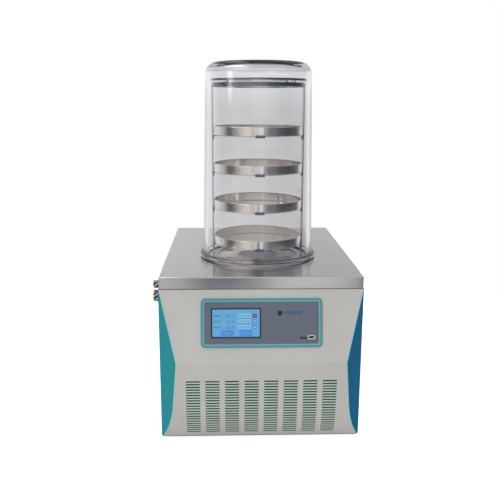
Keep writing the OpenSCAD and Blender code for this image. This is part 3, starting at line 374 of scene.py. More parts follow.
def finish_piece(name, me, mat, body, replaces, sharp):
    """Smooths a mesh up to its sharp edges, colours it and rides it on its body."""
    bm = bmesh.new()
    bm.from_mesh(me)
    bmesh.ops.recalc_face_normals(bm, faces=bm.faces)
    for f in bm.faces:
        f.smooth = True
    for e in bm.edges:
        e.smooth = len(e.link_faces) == 2 and e.calc_face_angle(0) < radians(sharp)
    bm.to_mesh(me)
    bm.free()
    me.materials.clear()
    me.materials.append(mat)
    obj = show(bpy.data.objects.new(name, me))
    if replaces:
        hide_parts(*replaces)
    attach(obj, body)
    w = obj.modifiers.new("shading", "WEIGHTED_NORMAL")
    w.keep_sharp = True
    return obj


def bevel(obj, width, segments=2, angle=30.0):
    """Breaks the edges sharper than an angle, before the shading is worked out."""
    b = obj.modifiers.new("edges", "BEVEL")
    b.width = width
    b.segments = segments
    b.limit_method = "ANGLE"
    b.angle_limit = radians(angle)
    b.miter_outer = "MITER_ARC"
    obj.modifiers.move(len(obj.modifiers) - 1, 0)


def grain_uv(obj):
    """Lays the brushing direction on a sheet: along X, or along Y on its side faces."""
    layer = obj.data.uv_layers.new(name="grain")
    for face in obj.data.polygons:
        side = abs(face.normal.x) > 0.9
        for k in face.loop_indices:
            p = obj.data.vertices[obj.data.loops[k].vertex_index].co
            layer.data[k].uv = (p.y, p.z) if side else (p.x, p.y + p.z)


def second_finish(obj, mat, test):
    """Gives the faces that pass a test of their centre and normal another finish."""
    obj.data.materials.append(mat)
    for face in obj.data.polygons:
        if test(face.center, face.normal):
            face.material_index = len(obj.data.materials) - 1


def skin(node, mat, width, segments=2, body="cabinet"):
    """A copy of a CAD node with clean flat faces and edges broken by a width in metres."""
    me = NODES[node].data.copy()
    bm = bmesh.new()
    bm.from_mesh(me)
    bmesh.ops.remove_doubles(bm, verts=bm.verts, dist=SAME_POINT)
    bmesh.ops.dissolve_limit(bm, angle_limit=SAME_PLANE, verts=bm.verts, edges=bm.edges)
    bm.to_mesh(me)
    bm.free()
    obj = finish_piece(node + "_skin", me, M[mat], body, [node], 30.0)
    if width:
        bevel(obj, width, segments)
    return obj


def dress(node, mat):
    """Gives a CAD node that stays as it is a better material."""
    obj = NODES[node]
    obj.data.materials.clear()
    obj.data.materials.append(M[mat])


def lathe(name, profile, centre, mat, n, **kw):
    """Turns (radius, height) points about a vertical axis; both ends lie on the axis."""
    verts, faces, rows = [], [], []
    for r, z in profile:
        if r == 0.0:
            rows.append([len(verts)] * n)
            verts.append((centre[0], centre[1], centre[2] + z))
        else:
            rows.append(list(range(len(verts), len(verts) + n)))
            verts += [(centre[0] + r * cos(2 * pi * k / n), centre[1] + r * sin(2 * pi * k / n),
                       centre[2] + z) for k in range(n)]
    for a, b in zip(rows, rows[1:]):
        for k in range(n):
            m = (k + 1) % n
            # a quad that touches the axis is a triangle
            faces.append(list(dict.fromkeys((a[k], a[m], b[m], b[k]))))
    return add(name, verts, faces, mat, **kw)


def arc(cx, cy, r, a0, a1, n):
    """n + 1 points on an arc from a0 to a1 degrees."""
    return [(cx + r * cos(radians(a0 + (a1 - a0) * k / n)),
             cy + r * sin(radians(a0 + (a1 - a0) * k / n))) for k in range(n + 1)]


def loops(rings):
    """Points and faces of a closed band through rings of points, the last joined to the first."""
    n = len(rings[0])
    faces = []
    for i in range(len(rings)):
        a, b = i * n, (i + 1) % len(rings) * n
        faces += [(a + k, a + (k + 1) % n, b + (k + 1) % n, b + k) for k in range(n)]
    return [p for ring in rings for p in ring], faces


def place(x, y, z):
    """A point given in the cabinet's own millimetres."""
    return Vector((SHIFT_X + x / 1000, SHIFT_Y + y / 1000, z / 1000))


# ---------------------------------------------------------------- deck
def perimeter(half_x, y0, y1, r, n=4, run=28):
    """Rounded rectangle in plan, in metres, with each straight side cut into runs."""
    pts = []
    corners = ((half_x - r, y0 + r, -90), (half_x - r, y1 - r, 0),
               (-half_x + r, y1 - r, 90), (-half_x + r, y0 + r, 180))
    for q, (cx, cy, a) in enumerate(corners):
        pts += arc(cx, cy, r, a, a + 90, n)
        nx, ny, na = corners[(q + 1) % 4]
        end = (nx + r * cos(radians(na)), ny + r * sin(radians(na)))
        start = pts[-1]
        pts += [(start[0] + (end[0] - start[0]) * k / run, start[1] + (end[1] - start[1]) * k / run)
                for k in range(1, run)]
    return pts


def deck():
    """Folded sheet with a round hole, rounded bends and a hem thickness all round."""
    half_x, y0, y1 = HALF_W - SHEET, -0.003, BODY_D
    top, low, bend, hole_r, hole_y = BODY_H, BODY_H - 0.025, 0.0024, 0.106, 0.2
    corner, least_corner, bend_steps = 0.0024, 0.0002, 5
    edge = perimeter(half_x, y0, y1, corner)

    def inset(d):
        return perimeter(half_x - d, y0 + d, y1 - d, max(corner - d, least_corner))

    def hole(z):
        turns = [math.atan2(y - hole_y, x) for x, y in edge]
        return [(hole_r * cos(a), hole_y + hole_r * sin(a), z) for a in turns]

    rings = [hole(top)]
    for k in range(bend_steps + 1):
        a = radians(90 * k / bend_steps)
        rings.append([(x, y, top - bend * (1 - cos(a))) for x, y in inset(bend * (1 - sin(a)))])
    rings.append([(x, y, low) for x, y in edge])
    rings.append([(x, y, low) for x, y in inset(SHEET)])
    rings.append([(x, y, top - SHEET) for x, y in inset(SHEET)])
    rings.append(hole(top - SHEET))
    verts, faces = loops([[(SHIFT_X + x, SHIFT_Y + y, z) for x, y, z in ring] for ring in rings])
    grain_uv(add("deck_sheet", verts, faces, M["deck"], "stainless", ["deck_plate"], 40))


deck()

# ---------------------------------------------------------------- front panel
# Side view of the moulding in millimetres: its lean at the top, its reach at the crease, the height
# of the crease and of the top, then the height, radius and slope of the curve below the crease
TOP_LEAN, BULGE, CREASE_H, PANEL_Z = 2.0, 37.0, 186.0, 333.5
TURN_H, TURN_R, LOWER = 88.0, 210.0, radians(5)
FRONT_T, FOOT_H = 2.0, 10.0
SLOPE = math.atan2(BULGE - TOP_LEAN, PANEL_Z - CREASE_H)
SLOPE_LEN = math.hypot(BULGE - TOP_LEAN, PANEL_Z - CREASE_H)
TURN_B = BULGE - (CREASE_H - TURN_H) * math.tan(LOWER)
TURN_Y = TURN_R * cos(LOWER) - TURN_B
TURN_Z = TURN_H + TURN_R * sin(LOWER)
STRAIGHT = (CREASE_H - TURN_H) / cos(LOWER)
END_S = STRAIGHT + TURN_R * (math.asin((TURN_Z - FOOT_H) / TURN_R) - LOWER)
# The moulding's edge and its reach add up to this; the cabinet's half width
FOLD, HALF_MM = 213.0, 212.0
# Control panel: its border, its middle down from the moulding's top, and half its window
BORDER_W, BORDER_H = 249.0, 100.5
BEZEL_MID = 18.5 + BORDER_H / 2
WINDOW_X, WINDOW_U = 114.5, 40.25
WINDOW_S = (BEZEL_MID - WINDOW_U - SLOPE_LEN, BEZEL_MID + WINDOW_U - SLOPE_LEN)
# Slots: rows below the crease, columns, and half the height and width of one
SLOT_ROWS = [41.5 + 6.3 * i for i in range(21)]
SLOT_COLUMNS = [(c - 3.5) * 40.6 for c in range(8)]
SLOT_S, SLOT_X = 1.6, 14.5
# The crease is a small radius: how far from it that reaches, and how deep it cuts
CREASE_S, CREASE_DIP = 1.3, 6.4 * (1 / cos((SLOPE + LOWER) / 2) - 1)


def front_at(s):
    """(forward reach, height, tilt) of the front at s below the crease; above it s is negative."""
    if s < 0:
        return BULGE + s * sin(SLOPE), CREASE_H - s * cos(SLOPE), -SLOPE
    if s < STRAIGHT:
        return BULGE - s * sin(LOWER), CREASE_H - s * cos(LOWER), LOWER
    a = LOWER + (s - STRAIGHT) / TURN_R
    return TURN_R * cos(a) - TURN_Y, TURN_Z - TURN_R * sin(a), a


def on_front(x, reach, z):
    """A point on the moulding, kept between its foot and its top."""
    return place(x, -reach, min(max(z, FOOT_H), PANEL_Z))


def near(value, places, reach):
    """Whether a value lies within reach of any of some places."""
    return any(abs(value - p) < reach for p in places)


def front_panel():
    """The moulding as a grid of cells, front and back, without those in its slots and window."""
    rows = {-SLOPE_LEN, END_S, STRAIGHT, *WINDOW_S, -30.0, -15.0, -2.0, 2.0, 20.0}
    rows |= {-1.2, -0.6, 0.0, 0.6, 1.2, END_S - 6, END_S - 14}
    rows = sorted(rows | {s + side * SLOT_S for s in SLOT_ROWS for side in (-1, 1)})
    xs = sorted([-WINDOW_X, WINDOW_X] + [x + side * SLOT_X for x in SLOT_COLUMNS
                                         for side in (-1, 1)])
    verts, index = [], {}

    def point(i, j, back):
        """The number of a corner of the grid; the outer columns lie on the moulding's edge."""
        key = (i, j, back)
        if key not in index:
            s = rows[j]
            b, z, tilt = front_at(s)
            width = min(FOLD - b, HALF_MM)
            if abs(s) < CREASE_S:
                b -= CREASE_DIP * (1 - abs(s) / CREASE_S)
                tilt = (LOWER - SLOPE) / 2 + (LOWER + SLOPE) / 2 * s / CREASE_S
            x = -width if i == 0 else width if i == len(xs) + 1 else xs[i - 1]
            off = FRONT_T if back else 0.0
            verts.append(on_front(x, b - off * cos(tilt), z + off * sin(tilt)))
            index[key] = len(verts) - 1
        return index[key]

    def solid(i, j):
        """Whether a cell is on the grid and not in a slot or in the window."""
        if not (0 <= i <= len(xs) and 0 <= j < len(rows) - 1):
            return False
        if i in (0, len(xs)):
            return True
        s, x = (rows[j] + rows[j + 1]) / 2, (xs[i - 1] + xs[i]) / 2
        in_slot = near(s, SLOT_ROWS, SLOT_S) and near(x, SLOT_COLUMNS, SLOT_X)
        in_window = WINDOW_S[0] < s < WINDOW_S[1] and abs(x) < WINDOW_X
        return not (in_slot or in_window)

    faces = []
    for i in range(len(xs) + 1):
        for j in range(len(rows) - 1):
            if not solid(i, j):
                continue
            corners = ((i, j), (i + 1, j), (i + 1, j + 1), (i, j + 1))
            for back in (False, True):
                faces.append([point(*c, back) for c in corners])
            # a wall where the next cell is missing
            for beside, a, b in (((i - 1, j), (i, j), (i, j + 1)),
                                 ((i + 1, j), (i + 1, j), (i + 1, j + 1)),
                                 ((i, j - 1), (i, j), (i + 1, j)),
                                 ((i, j + 1), (i, j + 1), (i + 1, j + 1))):
                if not solid(*beside):
                    faces.append([point(*a, False), point(*b, False),
                                  point(*b, True), point(*a, True)])
    obj = add("front_moulding", verts, faces, M["cream"], "cream_panel", ["front_panel"], 30)
    low, high = (front_at(s)[1] / 1000 for s in (SLOT_ROWS[-1] + SLOT_S, SLOT_ROWS[0] - SLOT_S))

    def at_slots(c):
        return low < c.z < high and near((c.x - SHIFT_X) * 1000, SLOT_COLUMNS, SLOT_X)

    # green tint on the bars' fronts and the slots' upward walls: painted green spill from the slots
    second_finish(obj, M["slot_bar_green_spill"], lambda c, n: at_slots(c) and n.y < -0.7)
    second_finish(obj, M["slot_side_green_spill"], lambda c, n: at_slots(c) and n.z > 0.8)
    bevel(obj, 0.0004, angle=40)


front_panel()


def filter_sheet():
    """Green dust filter cloth that follows the moulding behind its slots."""
    half, gap, t = 160.0, 3.0, 1.2
    rows = [36.0 + 4.0 * k for k in range(35)]
    verts, faces = [], []
    for s in rows:
        b, z, tilt = front_at(s)
        for off in (FRONT_T + gap, FRONT_T + gap + t):
            verts += [place(x, -b + off * cos(tilt), z + off * sin(tilt)) for x in (-half, half)]
    for k in range(len(rows) - 1):
        a, b = 4 * k, 4 * k + 4
        faces += [(a, a + 1, b + 1, b), (a + 2, b + 2, b + 3, a + 3),
                  (a, b, b + 2, a + 2), (a + 1, a + 3, b + 3, b + 1)]
    faces += [(0, 2, 3, 1), (b, b + 1, b + 3, b + 2)]
    add("filter_sheet", verts, faces, M["filter"], "aluminium")


def edge_line(side, name):
    """Thin pale line along the moulding's edge, where it meets the cheek."""
    wide, proud, deep, short = 3.3, 0.3, 0.6, 4
    verts, faces = [], []
    rows = [-(SLOPE_LEN - short) * k / 12 for k in range(12, -1, -1)]
    rows += [(END_S - short) * k / 40 for k in range(1, 41)]
    for s in rows:
        b, z, _ = front_at(s)
        for inset, lift in ((0.0, proud), (wide, proud), (wide, -deep), (0.0, -deep)):
            verts.append(on_front(side * (FOLD - b - inset), b + lift, z))
    n = len(rows)
    for k in range(n - 1):
        for q in range(4):
            a, b = 4 * k + q, 4 * k + (q + 1) % 4
            faces.append((a, b, b + 4, a + 4))
    faces += [(0, 1, 2, 3), tuple(4 * n - 4 + q for q in range(4))]
    add(name, verts, faces, M["edge_line"], "teal_paint" if side < 0 else "blue_paint")


def base_lip():
    """Narrow dark lip under the moulding and both cheeks, a painted shade along the bottom edge."""
    reach = front_at(END_S)[0]
    verts = []
    for z in (FOOT_H - 2.2, FOOT_H + 0.4):
        for b in (reach - 0.6, reach - 2.4):
            verts += [place(x, y, z) for x, y in ((-HALF_MM, 0.0), (b - HALF_MM, -b),
                                                  (HALF_MM - b, -b), (HALF_MM, 0.0))]
    faces = []
    # four rows of points, low and high, outer and inner
    for k in range(3):
        a, b, c, d = (k + 4 * q for q in range(4))
        faces += [(a, a + 1, c + 1, c), (b, d, d + 1, b + 1), (a, b, b + 1, a + 1),
                  (c, c + 1, d + 1, d)]
    faces += [(0, 8, 12, 4), (3, 7, 15, 11)]
    add("base_lip", verts, faces, M["base_lip"], "aluminium")


base_lip()
edge_line(-1, "left_edge_line")
edge_line(1, "right_edge_line")
filter_sheet()
for side, mat, slot in (("left_side_panel", "teal", "teal_paint"),
                        ("right_side_panel", "blue", "blue_paint")):
    skin(side, mat, 0.0004)

# ---------------------------------------------------------------- control panel
PANEL_ORIGIN = place(0, -(TOP_LEAN + BEZEL_MID * sin(SLOPE)), PANEL_Z - BEZEL_MID * cos(SLOPE))
PANEL_UP = Vector((0, sin(SLOPE), cos(SLOPE)))
PANEL_OUT = Vector((0, -cos(SLOPE), sin(SLOPE)))


def on_panel(x, u, w):
    """A point on the control panel: right, up along it and out of it, in millimetres."""
    return PANEL_ORIGIN + (RIGHT * x + PANEL_UP * u + PANEL_OUT * w) / 1000


def outline(w, h, r, n=8):
    """Rounded rectangle about the origin."""
    pts = []
    for cx, cy, a in ((w / 2 - r, -h / 2 + r, -90), (w / 2 - r, h / 2 - r, 0),
                      (-w / 2 + r, h / 2 - r, 90), (-w / 2 + r, -h / 2 + r, 180)):
        pts += arc(cx, cy, r, a, a + 90, n)
    return pts


def panel_ring(name, sections, mat, slot, replaces=()):
    """A frame on the control panel: sections are (width, height, radius, out) round its profile."""
    add(name, *loops([[on_panel(x, u, out) for x, u in outline(w, h, r)]
                      for w, h, r, out in sections]), mat, slot, replaces, 40)


def panel_plate(name, x, u, w, h, low, high, mat, slot, r=0.3, n=4):
    """A small rounded plate from one height to another over the control panel."""
    least = 0.01
    pts = outline(w, h, min(r, w / 2 - least, h / 2 - least), n)
    e = min(0.15, (high - low) / 2, w / 4, h / 4)
    small = outline(w - 2 * e, h - 2 * e, max(min(r, w / 2, h / 2) - e, least), n)
    m = len(pts)
    verts = [on_panel(x + a, u + b, low) for a, b in pts]
    verts += [on_panel(x + a, u + b, high - e) for a, b in pts]
    verts += [on_panel(x + a, u + b, high) for a, b in small]
    faces = [tuple(range(m)), tuple(range(2 * m, 3 * m))]
    for q in (0, m):
        faces += [(q + k, q + (k + 1) % m, q + m + (k + 1) % m, q + m + k) for k in range(m)]
    add(name, verts, faces, mat, slot, sharp=40)


def control_panel():
    """The border's two bands, and the CAD's plates, glass and socket inside it."""
    w, h = BORDER_W, BORDER_H
    panel_ring("border_outer", [(w, h, 9, 0), (w, h, 9, 2.2), (w - 0.8, h - 0.8, 8.6, 2.8),
                                (w - 2, h - 2, 8, 3.0), (w - 8, h - 8, 5.5, 3.0),
                                (w - 8.4, h - 8.4, 5.2, 2.7), (w - 8.4, h - 8.4, 5.2, 0)],
               M["trim"], "teal_trim", ["panel_bezel"])
    panel_ring("border_inner", [(w - 8.4, h - 8.4, 5.2, 0), (w - 8.4, h - 8.4, 5.2, 2.5),
                                (w - 11.6, h - 11.6, 4, 2.5), (w - 12.4, h - 12.4, 3.6, 2.1),
                                (w - 14, h - 14, 3, 2.0), (w - 14, h - 14, 3, 0)],
               M["trim_light"], "teal_trim")
    skin("panel_fascia", "slate", 0.0002)
    skin("display_rim", "rim", 0.0002)
    skin("display_glass", "lcd", 0.0)
    skin("data_socket", "pale", 0.0002)


control_panel()

# The display's middle across, and the height of its glass over the panel
DISPLAY_X, GLASS = -52.5, 2.0


def on_display(name, x, u, w, h, proud, mat, r=0.3):
    """A small plate that stands proud of the glass."""
    panel_plate(name, DISPLAY_X + x, u, w, h, GLASS, GLASS + proud, M[mat], "display", r)


def figure(row, text, u):
    """One raised number on the display, set to the right."""
    curve = bpy.data.curves.new("figure_%d" % row, "FONT")
    curve.body = text
    curve.size = 0.0086
    curve.space_character = 1.15
    curve.align_x = "RIGHT"
    curve.extrude = 0.00004
    curve.offset = 0.00008
    curve.materials.append(M["lcd_dark"])
    obj = show(bpy.data.objects.new("figure_%d" % row, curve))
    obj.matrix_world = axes_at(on_panel(DISPLAY_X - 3.5, u - 3.0, GLASS + 0.05), RIGHT, PANEL_UP,
                               PANEL_OUT)
    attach(obj, "cabinet")


def display():
    """Rows of plain figures, boxes and two keys on the display."""
    for row, (text, u) in enumerate((("-45.2", 14.6), ("18.6", 3.4), ("25.0", -8.6))):
        for k, w in enumerate((3.6, 2.6, 3.2)):
            on_display("label_%d%d" % (row, k), 4.2 * k - 42.4, u, w, 3.4, 0.08, "lcd_dark")
        figure(row, text, u)
        on_display("box_%d" % row, 17.0, u + 0.4, 25.5, 8.2, 0.06, "lcd_white", 0.8)
        on_display("under_%d" % row, 17.0, u - 4.3, 25.5, 0.9, 0.08, "lcd_dark")
        for k in range(4):
            on_display("tick_%d%d" % (row, k), 8.4 + 5.6 * k, u + 0.4, 3.4, 2.2, 0.1, "lcd_dark")
        on_display("icon_%d" % row, 38.2, u, 9.0, 8.8, 0.1, "lcd_button" if row else "lcd_red", 0.8)
        on_display("icon_mark_%d" % row, 38.2, u, 4.6, 3.6, 0.15,
                   "lcd_white" if row else "lcd_dark", 0.8)
    for k, x in enumerate((-18.0, 20.2)):
        on_display("key_%d" % k, x, -20.6, 26.5, 12.6, 0.15, "lcd_button", 1.0)
        on_display("key_mark_%d" % k, x, -20.6, 12, 1.6, 0.2, "lcd")


display()


def facing_marks():
    """A plain lamp and bars, and a small mark beside the socket."""
    face = 2
    panel_plate("lamp", 37.5, 20.0, 9.6, 9.6, face, 2.6, M["ink"], "dark_rim", 3.4, 10)
    panel_plate("lamp_lens", 38.4, 20.8, 3.0, 3.0, 2.5, 2.9, M["rim"], "dark_rim", 1.4, 8)
    for k in range(6):
        panel_plate("light_bar_%d" % k, 49.2 + 6.4 * k, 21.4, 5.2, 4.0, face, 2.2, M["mark_blue"],
                    "teal_trim", 0.6)
    panel_plate("light_line", 66.0, 17.0, 32, 1.3, face, 2.2, M["mark_blue"], "teal_trim", 0.4)
    for k in range(3):
        panel_plate("socket_mark_%d" % k, 81.4 + 5.2 * k, -31.0, 4.4, 4.4, face, 2.12, M["ink"],
                    "dark_rim", 0.5)


facing_marks()


# ---------------------------------------------------------------- bell jar
def line(a, b, n):
    """n + 1 points on a straight line in a profile."""
    return [(a[0] + (b[0] - a[0]) * k / n, a[1] + (b[1] - a[1]) * k / n) for k in range(n + 1)]


def bell_jar():
    """Foot flange with a groove for its seal, a wall that narrows upwards, and a flat roof."""
    low, foot_r, foot_top, lip, fillet = 0.001, 0.132, 0.011, 0.002, 0.003
    top_r, high, rnd = 0.1173, 0.433, 0.025
    inner_r, roof, inner_rnd = 0.1093, 0.421, 0.012
    flat = (0.06, 0.03)
    outer = [(foot_r - 0.0005, low), (foot_r, low + 0.0005)]
    outer += [(foot_r, foot_top - lip)] + arc(foot_r - lip, foot_top - lip, lip, 0, 90, 5)
    outer += [(0.1285, foot_top)] + arc(0.1279, foot_top + fillet, fillet, 270, 181, 6)
    outer += line((0.1249, 0.0155), (top_r, high - rnd), 12)[1:]
    outer += arc(top_r - rnd, high - rnd, rnd, 8, 90, 14) + [(r, high) for r in flat]
    inner = [(r, roof) for r in reversed(flat)]
    inner += arc(inner_r - inner_rnd, roof - inner_rnd, inner_rnd, 90, 8, 12)
    inner += line((inner_r, roof - inner_rnd), (0.117, low), 12)
    groove = [(0.125, low), (0.125, 0.006), (0.119, 0.006), (0.119, low), (0.1175, low)]
    profile = [(0.0, high)] + outer[::-1] + groove + inner[::-1] + [(0.0, roof)]
    jar = lathe("bell_jar_clear", profile, CHAMBER, M["acrylic"], 192, slot="clear_acrylic",
                replaces=["bell_jar", "jar_cap"], sharp=50)
    # the underside of the foot's two ends is painted dark: a painted shade that shows through the
    # clear foot
    second_finish(jar, M["dark_bar"], lambda c, n: n.z < -0.9 and abs(c.x - CHAMBER.x) > 0.1 and
                  (c - CHAMBER).length > 0.126 and c.z < CHAMBER.z + 2 * low)


bell_jar()


# ---------------------------------------------------------------- trays and rack
def outward(centre, normal):
    """How far a face's normal points away from the chamber's axis."""
    return normal.x * (centre.x - CHAMBER.x) + normal.y * (centre.y - CHAMBER.y)


def tray(i):
    """Pressed round tray with a straight wall, a rounded bottom and a rolled rim."""
    z = 0.031 + 0.0815 * i
    r, h, t, turn, roll = 0.1, 0.021, 0.001, 0.0024, 0.0009
    profile = [(0.0, 0.0), (r / 2, 0.0), (r - 0.0034, 0.0), (r - 0.0026, 0.0)]
    profile += arc(r - turn, turn, turn, -90, 0, 5)
    profile += [(r, 0.003), (r, h - 0.0022), (r, h - 0.0016)]
    profile += arc(r - roll, h - roll, roll, 0, 180, 8)
    profile += [(r - 2 * roll, h - 2 * roll), (r - t, h - 0.0024), (r - t, 0.0044), (r - t, 0.0036)]
    profile += arc(r - t - 0.0016, 0.0026, 0.0016, 0, -90, 5)
    profile += [(r - 0.004, t), (r / 2, t), (0.0, t)]
    obj = lathe("tray_%d_pan" % (i + 1), profile, CHAMBER + Vector((0, 0, z)), M["tray"], 180,
                slot="stainless", replaces=["tray_%d" % (i + 1)], sharp=50)
    # the floors, and the lowest tray's wall inside, get a lighter, part-diffuse steel: painted
    # light
    second_finish(obj, M["tray_floor"], lambda c, n: c.z < CHAMBER.z + z + h - 0.002 and
                  (n.z > 0.1 or i == 0 and outward(c, n) < 0))


for level in range(4):
    tray(level)
    skin("shelf_%d" % (level + 1), "dark_bar", 0.0004)
# Only the rack's ring and plate at its top lie higher than this
RACK_TOP = 0.735
frame_skin = skin("rack_frame", "bar", 0.0003)
# at the rack's top the outward sides are painted dark and the rest is a brighter polish: painted
# reflection
second_finish(frame_skin, M["polished"], lambda c, n: c.z > RACK_TOP and (
    abs(n.z) >= 0.5 or outward(c, n) < 0 and c.y > CHAMBER.y))
second_finish(frame_skin, M["painted_dark_edge"], lambda c, n: c.z > RACK_TOP and abs(n.z) < 0.5 and
              outward(c, n) > 0)
plate_skin = skin("rack_plate", "polished", 0.0005)
second_finish(plate_skin, M["painted_dark_edge"], lambda c, n: abs(n.z) < 0.5)
skin("rack_spacers", "polished", 0.0003)
skin("stand_plate", "stand", 0.0003)

# ---------------------------------------------------------------- everything that stays
for node, mat, slot, width, segments, body in (
        ("air_knob", "knob", "knob_metal", 0.0003, 2, "air_knob"),
        ("gas_port", "knob", "knob_metal", 0.0003, 2, "cabinet"),
        ("air_valve", "zinc", "zinc", 0.0003, 2, "cabinet"),
        ("rear_panel", "cream_steel", "cream_steel", 0.0002, 1, "cabinet"),
        ("power_inlet", "plastic", "black_plastic", 0.0004, 2, "cabinet"),
        ("switch_frame", "plastic", "black_plastic", 0.0003, 2, "cabinet"),
        ("switch_rocker", "red", "red_plastic", 0.0003, 2, "switch_rocker"),
        ("drain_valve", "brass", "brass", 0.0003, 2, "cabinet"),
        ("drain_lever", "red", "red_plastic", 0.0005, 2, "drain_lever"),
        ("vacuum_tube", "steel", "stainless", 0.0003, 2, "cabinet")):
    skin(node, mat, width, segments, body)
for mat, nodes in {
        "frame": ("base_pan", "corner_posts", "deck_rails", "fan_shroud", "fan_bracket"),
        "zinc": ("foot_bolts", "rear_panel_screws", "compressor_bolts", "power_supply"),
        "rubber": ("rubber_feet", "compressor_mounts"), "silicone": ("jar_seal",),
        "plastic": ("display_module", "fan_motor"), "board": ("control_board",),
        "frosted": ("trap_well",), "foam": ("trap_foam",), "black": ("compressor",),
        "steel": ("trap_probe", "drain_pipe", "air_line"), "fin": ("condenser",),
        "copper": ("cooling_coil", "filter_drier", "copper_lines", "suction_line"),
        "pale": ("fan_rotor",)}.items():
    for node in nodes:
        dress(node, mat)


# ---------------------------------------------------------------- floor and light
FLOOR_R, FLOOR_GLOW = 1.25, 0.9
# Where the floor has no glow: axis, centre and half width, and how softly that ends, in metres
UNDER_CABINET, SHADOW_EDGE = (("X", 0.0, 0.196), ("Y", 0.003, 0.253)), 0.008


def floor():
    """Round white table top, bright to the camera and an even white to everything else."""
    s = Shader("floor_white", (0.86, 0.86, 0.86), 0.7, Specular_IOR_Level=0.0)
    s.tint(s.noise(3.0, 2.0, 0.5), (0.80, 0.80, 0.80), (0.82, 0.82, 0.82))
    path = s.node("ShaderNodeLightPath")
    glow = s.node("ShaderNodeEmission")
    # no glow under the cabinet, where its shadow lies
    beside, before = (s.remap(s.along(axis, centre), half, half + SHADOW_EDGE, 0.0, FLOOR_GLOW)
                      for axis, centre, half in UNDER_CABINET)
    s.put(s.math("MAXIMUM", beside, before), glow.inputs["Strength"])
    both = s.node("ShaderNodeAddShader")
    s.put(s.bsdf.outputs[0], both.inputs[0])
    s.put(glow.outputs[0], both.inputs[1])
    s.put(s.pick(path.outputs["Is Camera Ray"], s.bsdf.outputs[0], both.outputs[0]),
          s.out.inputs["Surface"])
    n = 96
    verts = [(FLOOR_R * cos(2 * pi * k / n), FLOOR_R * sin(2 * pi * k / n), 0) for k in range(n)]
    me = bpy.data.meshes.new("floor")
    me.from_pydata(verts, [], [tuple(range(n))])
    me.materials.append(s.mat)
    show(bpy.data.objects.new("floor", me))


def area(name, location, target, size, power, glossy=False, diffuse=True):
    """A rectangular lamp that shines at a point; sizes in metres, power in watts."""
    data = bpy.data.lights.new(name, "AREA")
    data.shape = "RECTANGLE"
    data.size, data.size_y = size
    data.energy = power
    obj = show(bpy.data.objects.new(name, data))
    obj.location = location
    obj.rotation_euler = (Vector(target) - Vector(location)).to_track_quat("-Z", "Y").to_euler()
    obj.visible_diffuse = diffuse
    obj.visible_glossy = glossy
    obj.visible_transmission = glossy


# What the shiny parts see round them: degrees right of the viewer, then the brightness just
# below eye level, a little above it and well above it, then the warmth
BANDS = (
    (-180, 0.66, 0.84, 0.58, 0), (-170, 0.72, 0.87, 0.65, 0), (-150, 0.79, 0.91, 0.64, 0),
    (-135, 0.90, 0.95, 0.62, 0), (-121, 0.90, 0.92, 0.60, 0), (-112, 0.70, 0.60, 0.50, 0),
    (-101, 0.60, 0.40, 0.45, 0), (-90, 0.32, 0.30, 0.42, 0), (-82, 0.11, 0.25, 0.40, 0),
    (-70, 0.10, 0.35, 0.45, 0), (-57, 0.36, 0.55, 0.60, 0.05), (-46, 0.56, 0.68, 0.80, 0.07),
    (-34, 0.74, 0.74, 0.78, 0.07), (-20, 0.74, 0.76, 0.74, 0.06), (-14, 0.55, 0.76, 0.72, 0),
    (-7, 0.76, 0.76, 0.72, 0), (5, 0.87, 0.76, 0.72, 0), (10.6, 0.86, 0.70, 0.72, 0),
    (11.8, 0.36, 0.60, 0.71, 0), (18, 0.38, 0.50, 0.70, 0), (24, 0.20, 0.30, 0.66, -0.05),
    (42, 0.18, 0.25, 0.55, -0.05), (50, 0.10, 0.22, 0.50, -0.05), (82, 0.07, 0.12, 0.40, -0.05),
    (110, 0.10, 0.20, 0.40, 0), (120, 0.34, 0.50, 0.45, 0), (130, 0.92, 0.94, 0.48, 0),
    (140, 0.86, 0.92, 0.50, 0), (160, 0.62, 0.82, 0.50, 0), (175, 0.62, 0.82, 0.50, 0))
# How much a dark patch round the camera hides of the room, by the same degrees
PATCH = ((-7, 0), (-5, 0.1), (-3.6, 0.5), (-2.6, 0.9), (-1.6, 1), (0.5, 1), (1.6, 1),
         (2.4, 0.9), (3.2, 0.45), (4.2, 0))
CEILING, GROUND, DARK_PATCH = (0.60, 0.60, 0.62), (0.09, 0.09, 0.10), (0.03, 0.04, 0.12)
LAMP_AZ, LAMP_LIGHT = radians(66), (4.2, 4.0, 3.95)


def warmed(value, warmth):
    """A grey made warmer, or cooler where the warmth is negative."""
    return value * (1 + warmth), value, value * (1 - 1.3 * warmth)


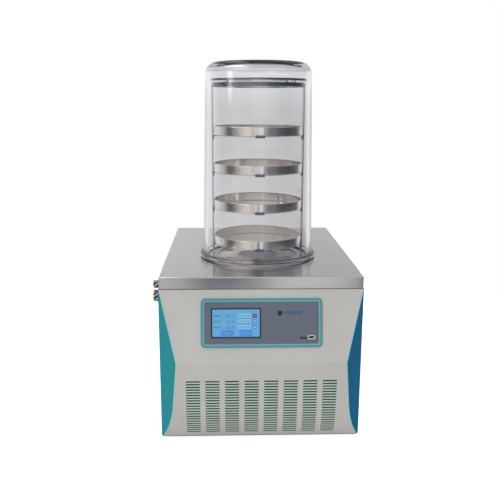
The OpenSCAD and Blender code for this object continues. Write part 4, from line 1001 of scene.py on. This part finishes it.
def studio():
    """White to the camera; a soft room of light and dark bands for everything else."""
    world = bpy.data.worlds.new("studio")
    bpy.context.scene.world = world
    world.use_nodes = True
    world.node_tree.nodes.clear()
    g = Graph(world.node_tree)
    sep = g.node("ShaderNodeSeparateXYZ")
    g.put(g.node("ShaderNodeTexCoord").outputs["Generated"], sep.inputs[0])
    turn = g.math("ARCTAN2", sep.outputs["X"], g.math("MULTIPLY", sep.outputs["Y"], -1.0))
    # the sine of the angle over eye level
    height = sep.outputs["Z"]

    def around(stops):
        """A colour that changes with the direction, from (degrees, colour) stops."""
        ramp = g.node("ShaderNodeValToRGB")
        el = ramp.color_ramp.elements
        el.remove(el[-1])
        for k, (az, color) in enumerate(stops):
            e = el.new((az + 180) / 360) if k else el[0]
            e.position = (az + 180) / 360
            e.color = (*color, 1)
        g.put(g.remap(turn, -pi, pi), ramp.inputs["Fac"])
        return ramp.outputs["Color"]

    below, above, high = (around([(band[0], warmed(band[k], band[4])) for band in BANDS])
                          for k in (1, 2, 3))
    lit = g.mix(g.remap(height, -0.01, 0.04), below, above)
    lit = g.mix(g.remap(height, 0.08, 0.28), lit, high)
    lit = g.mix(g.remap(height, 0.5, 0.85), lit, CEILING)
    # the dark patch lies below eye level only
    patch = around([(az, (v, v, v)) for az, v in PATCH])
    hides = g.math("MULTIPLY", patch, g.remap(height, -0.07, -0.12))
    hides = g.math("MULTIPLY", hides, g.remap(height, -0.185, -0.205, 0.35, 1.0))
    lit = g.mix(hides, lit, DARK_PATCH)
    # a tall lamp on the left widens upwards from eye level
    off_lamp = g.math("ABSOLUTE", g.math("ADD", turn, LAMP_AZ), 0.0)
    lamp = g.math("DIVIDE", off_lamp, g.remap(height, 0.03, 0.11, radians(3), radians(14)))
    lamp = g.math("MULTIPLY", g.remap(lamp, 1.0, 0.2), g.remap(height, 0.025, 0.045))
    lamp = g.math("MULTIPLY", lamp, g.remap(height, 0.26, 0.10))
    lit = g.mix(lamp, lit, LAMP_LIGHT)
    room, white = g.node("ShaderNodeBackground"), g.node("ShaderNodeBackground")
    g.put(g.mix(g.remap(height, -0.26, -0.34), lit, GROUND), room.inputs["Color"])
    white.inputs["Color"].default_value = (1, 1, 1, 1)
    path = g.node("ShaderNodeLightPath")
    g.put(g.pick(path.outputs["Is Camera Ray"], room.outputs[0], white.outputs[0]),
          g.node("ShaderNodeOutputWorld").inputs["Surface"])


floor()
studio()
area("key", (-1.6, -1.6, 2.4), (0, 0, 0.3), (1.6, 1.6), 12, glossy=True)
area("top", (0.0, 0.4, 2.8), (0, 0, 0.2), (2.5, 2.5), 22)
area("edge", (-0.72, 0.2, 2.8), (-0.72, 0.2, 0), (0.7, 3.2), 9, glossy=True, diffuse=False)
area("low", (0.0, -1.9, 0.12), (0, -0.3, 0.12), (1.8, 0.2), 3)
# a faint glow down in the cold trap
trap_light = bpy.data.lights.new("trap", "POINT")
trap_light.energy, trap_light.shadow_soft_size = 0.11, 0.03
trap = show(bpy.data.objects.new("trap", trap_light))
trap.location = (0.009, -0.09, 0.27)
trap.visible_camera = trap.visible_glossy = trap.visible_transmission = False
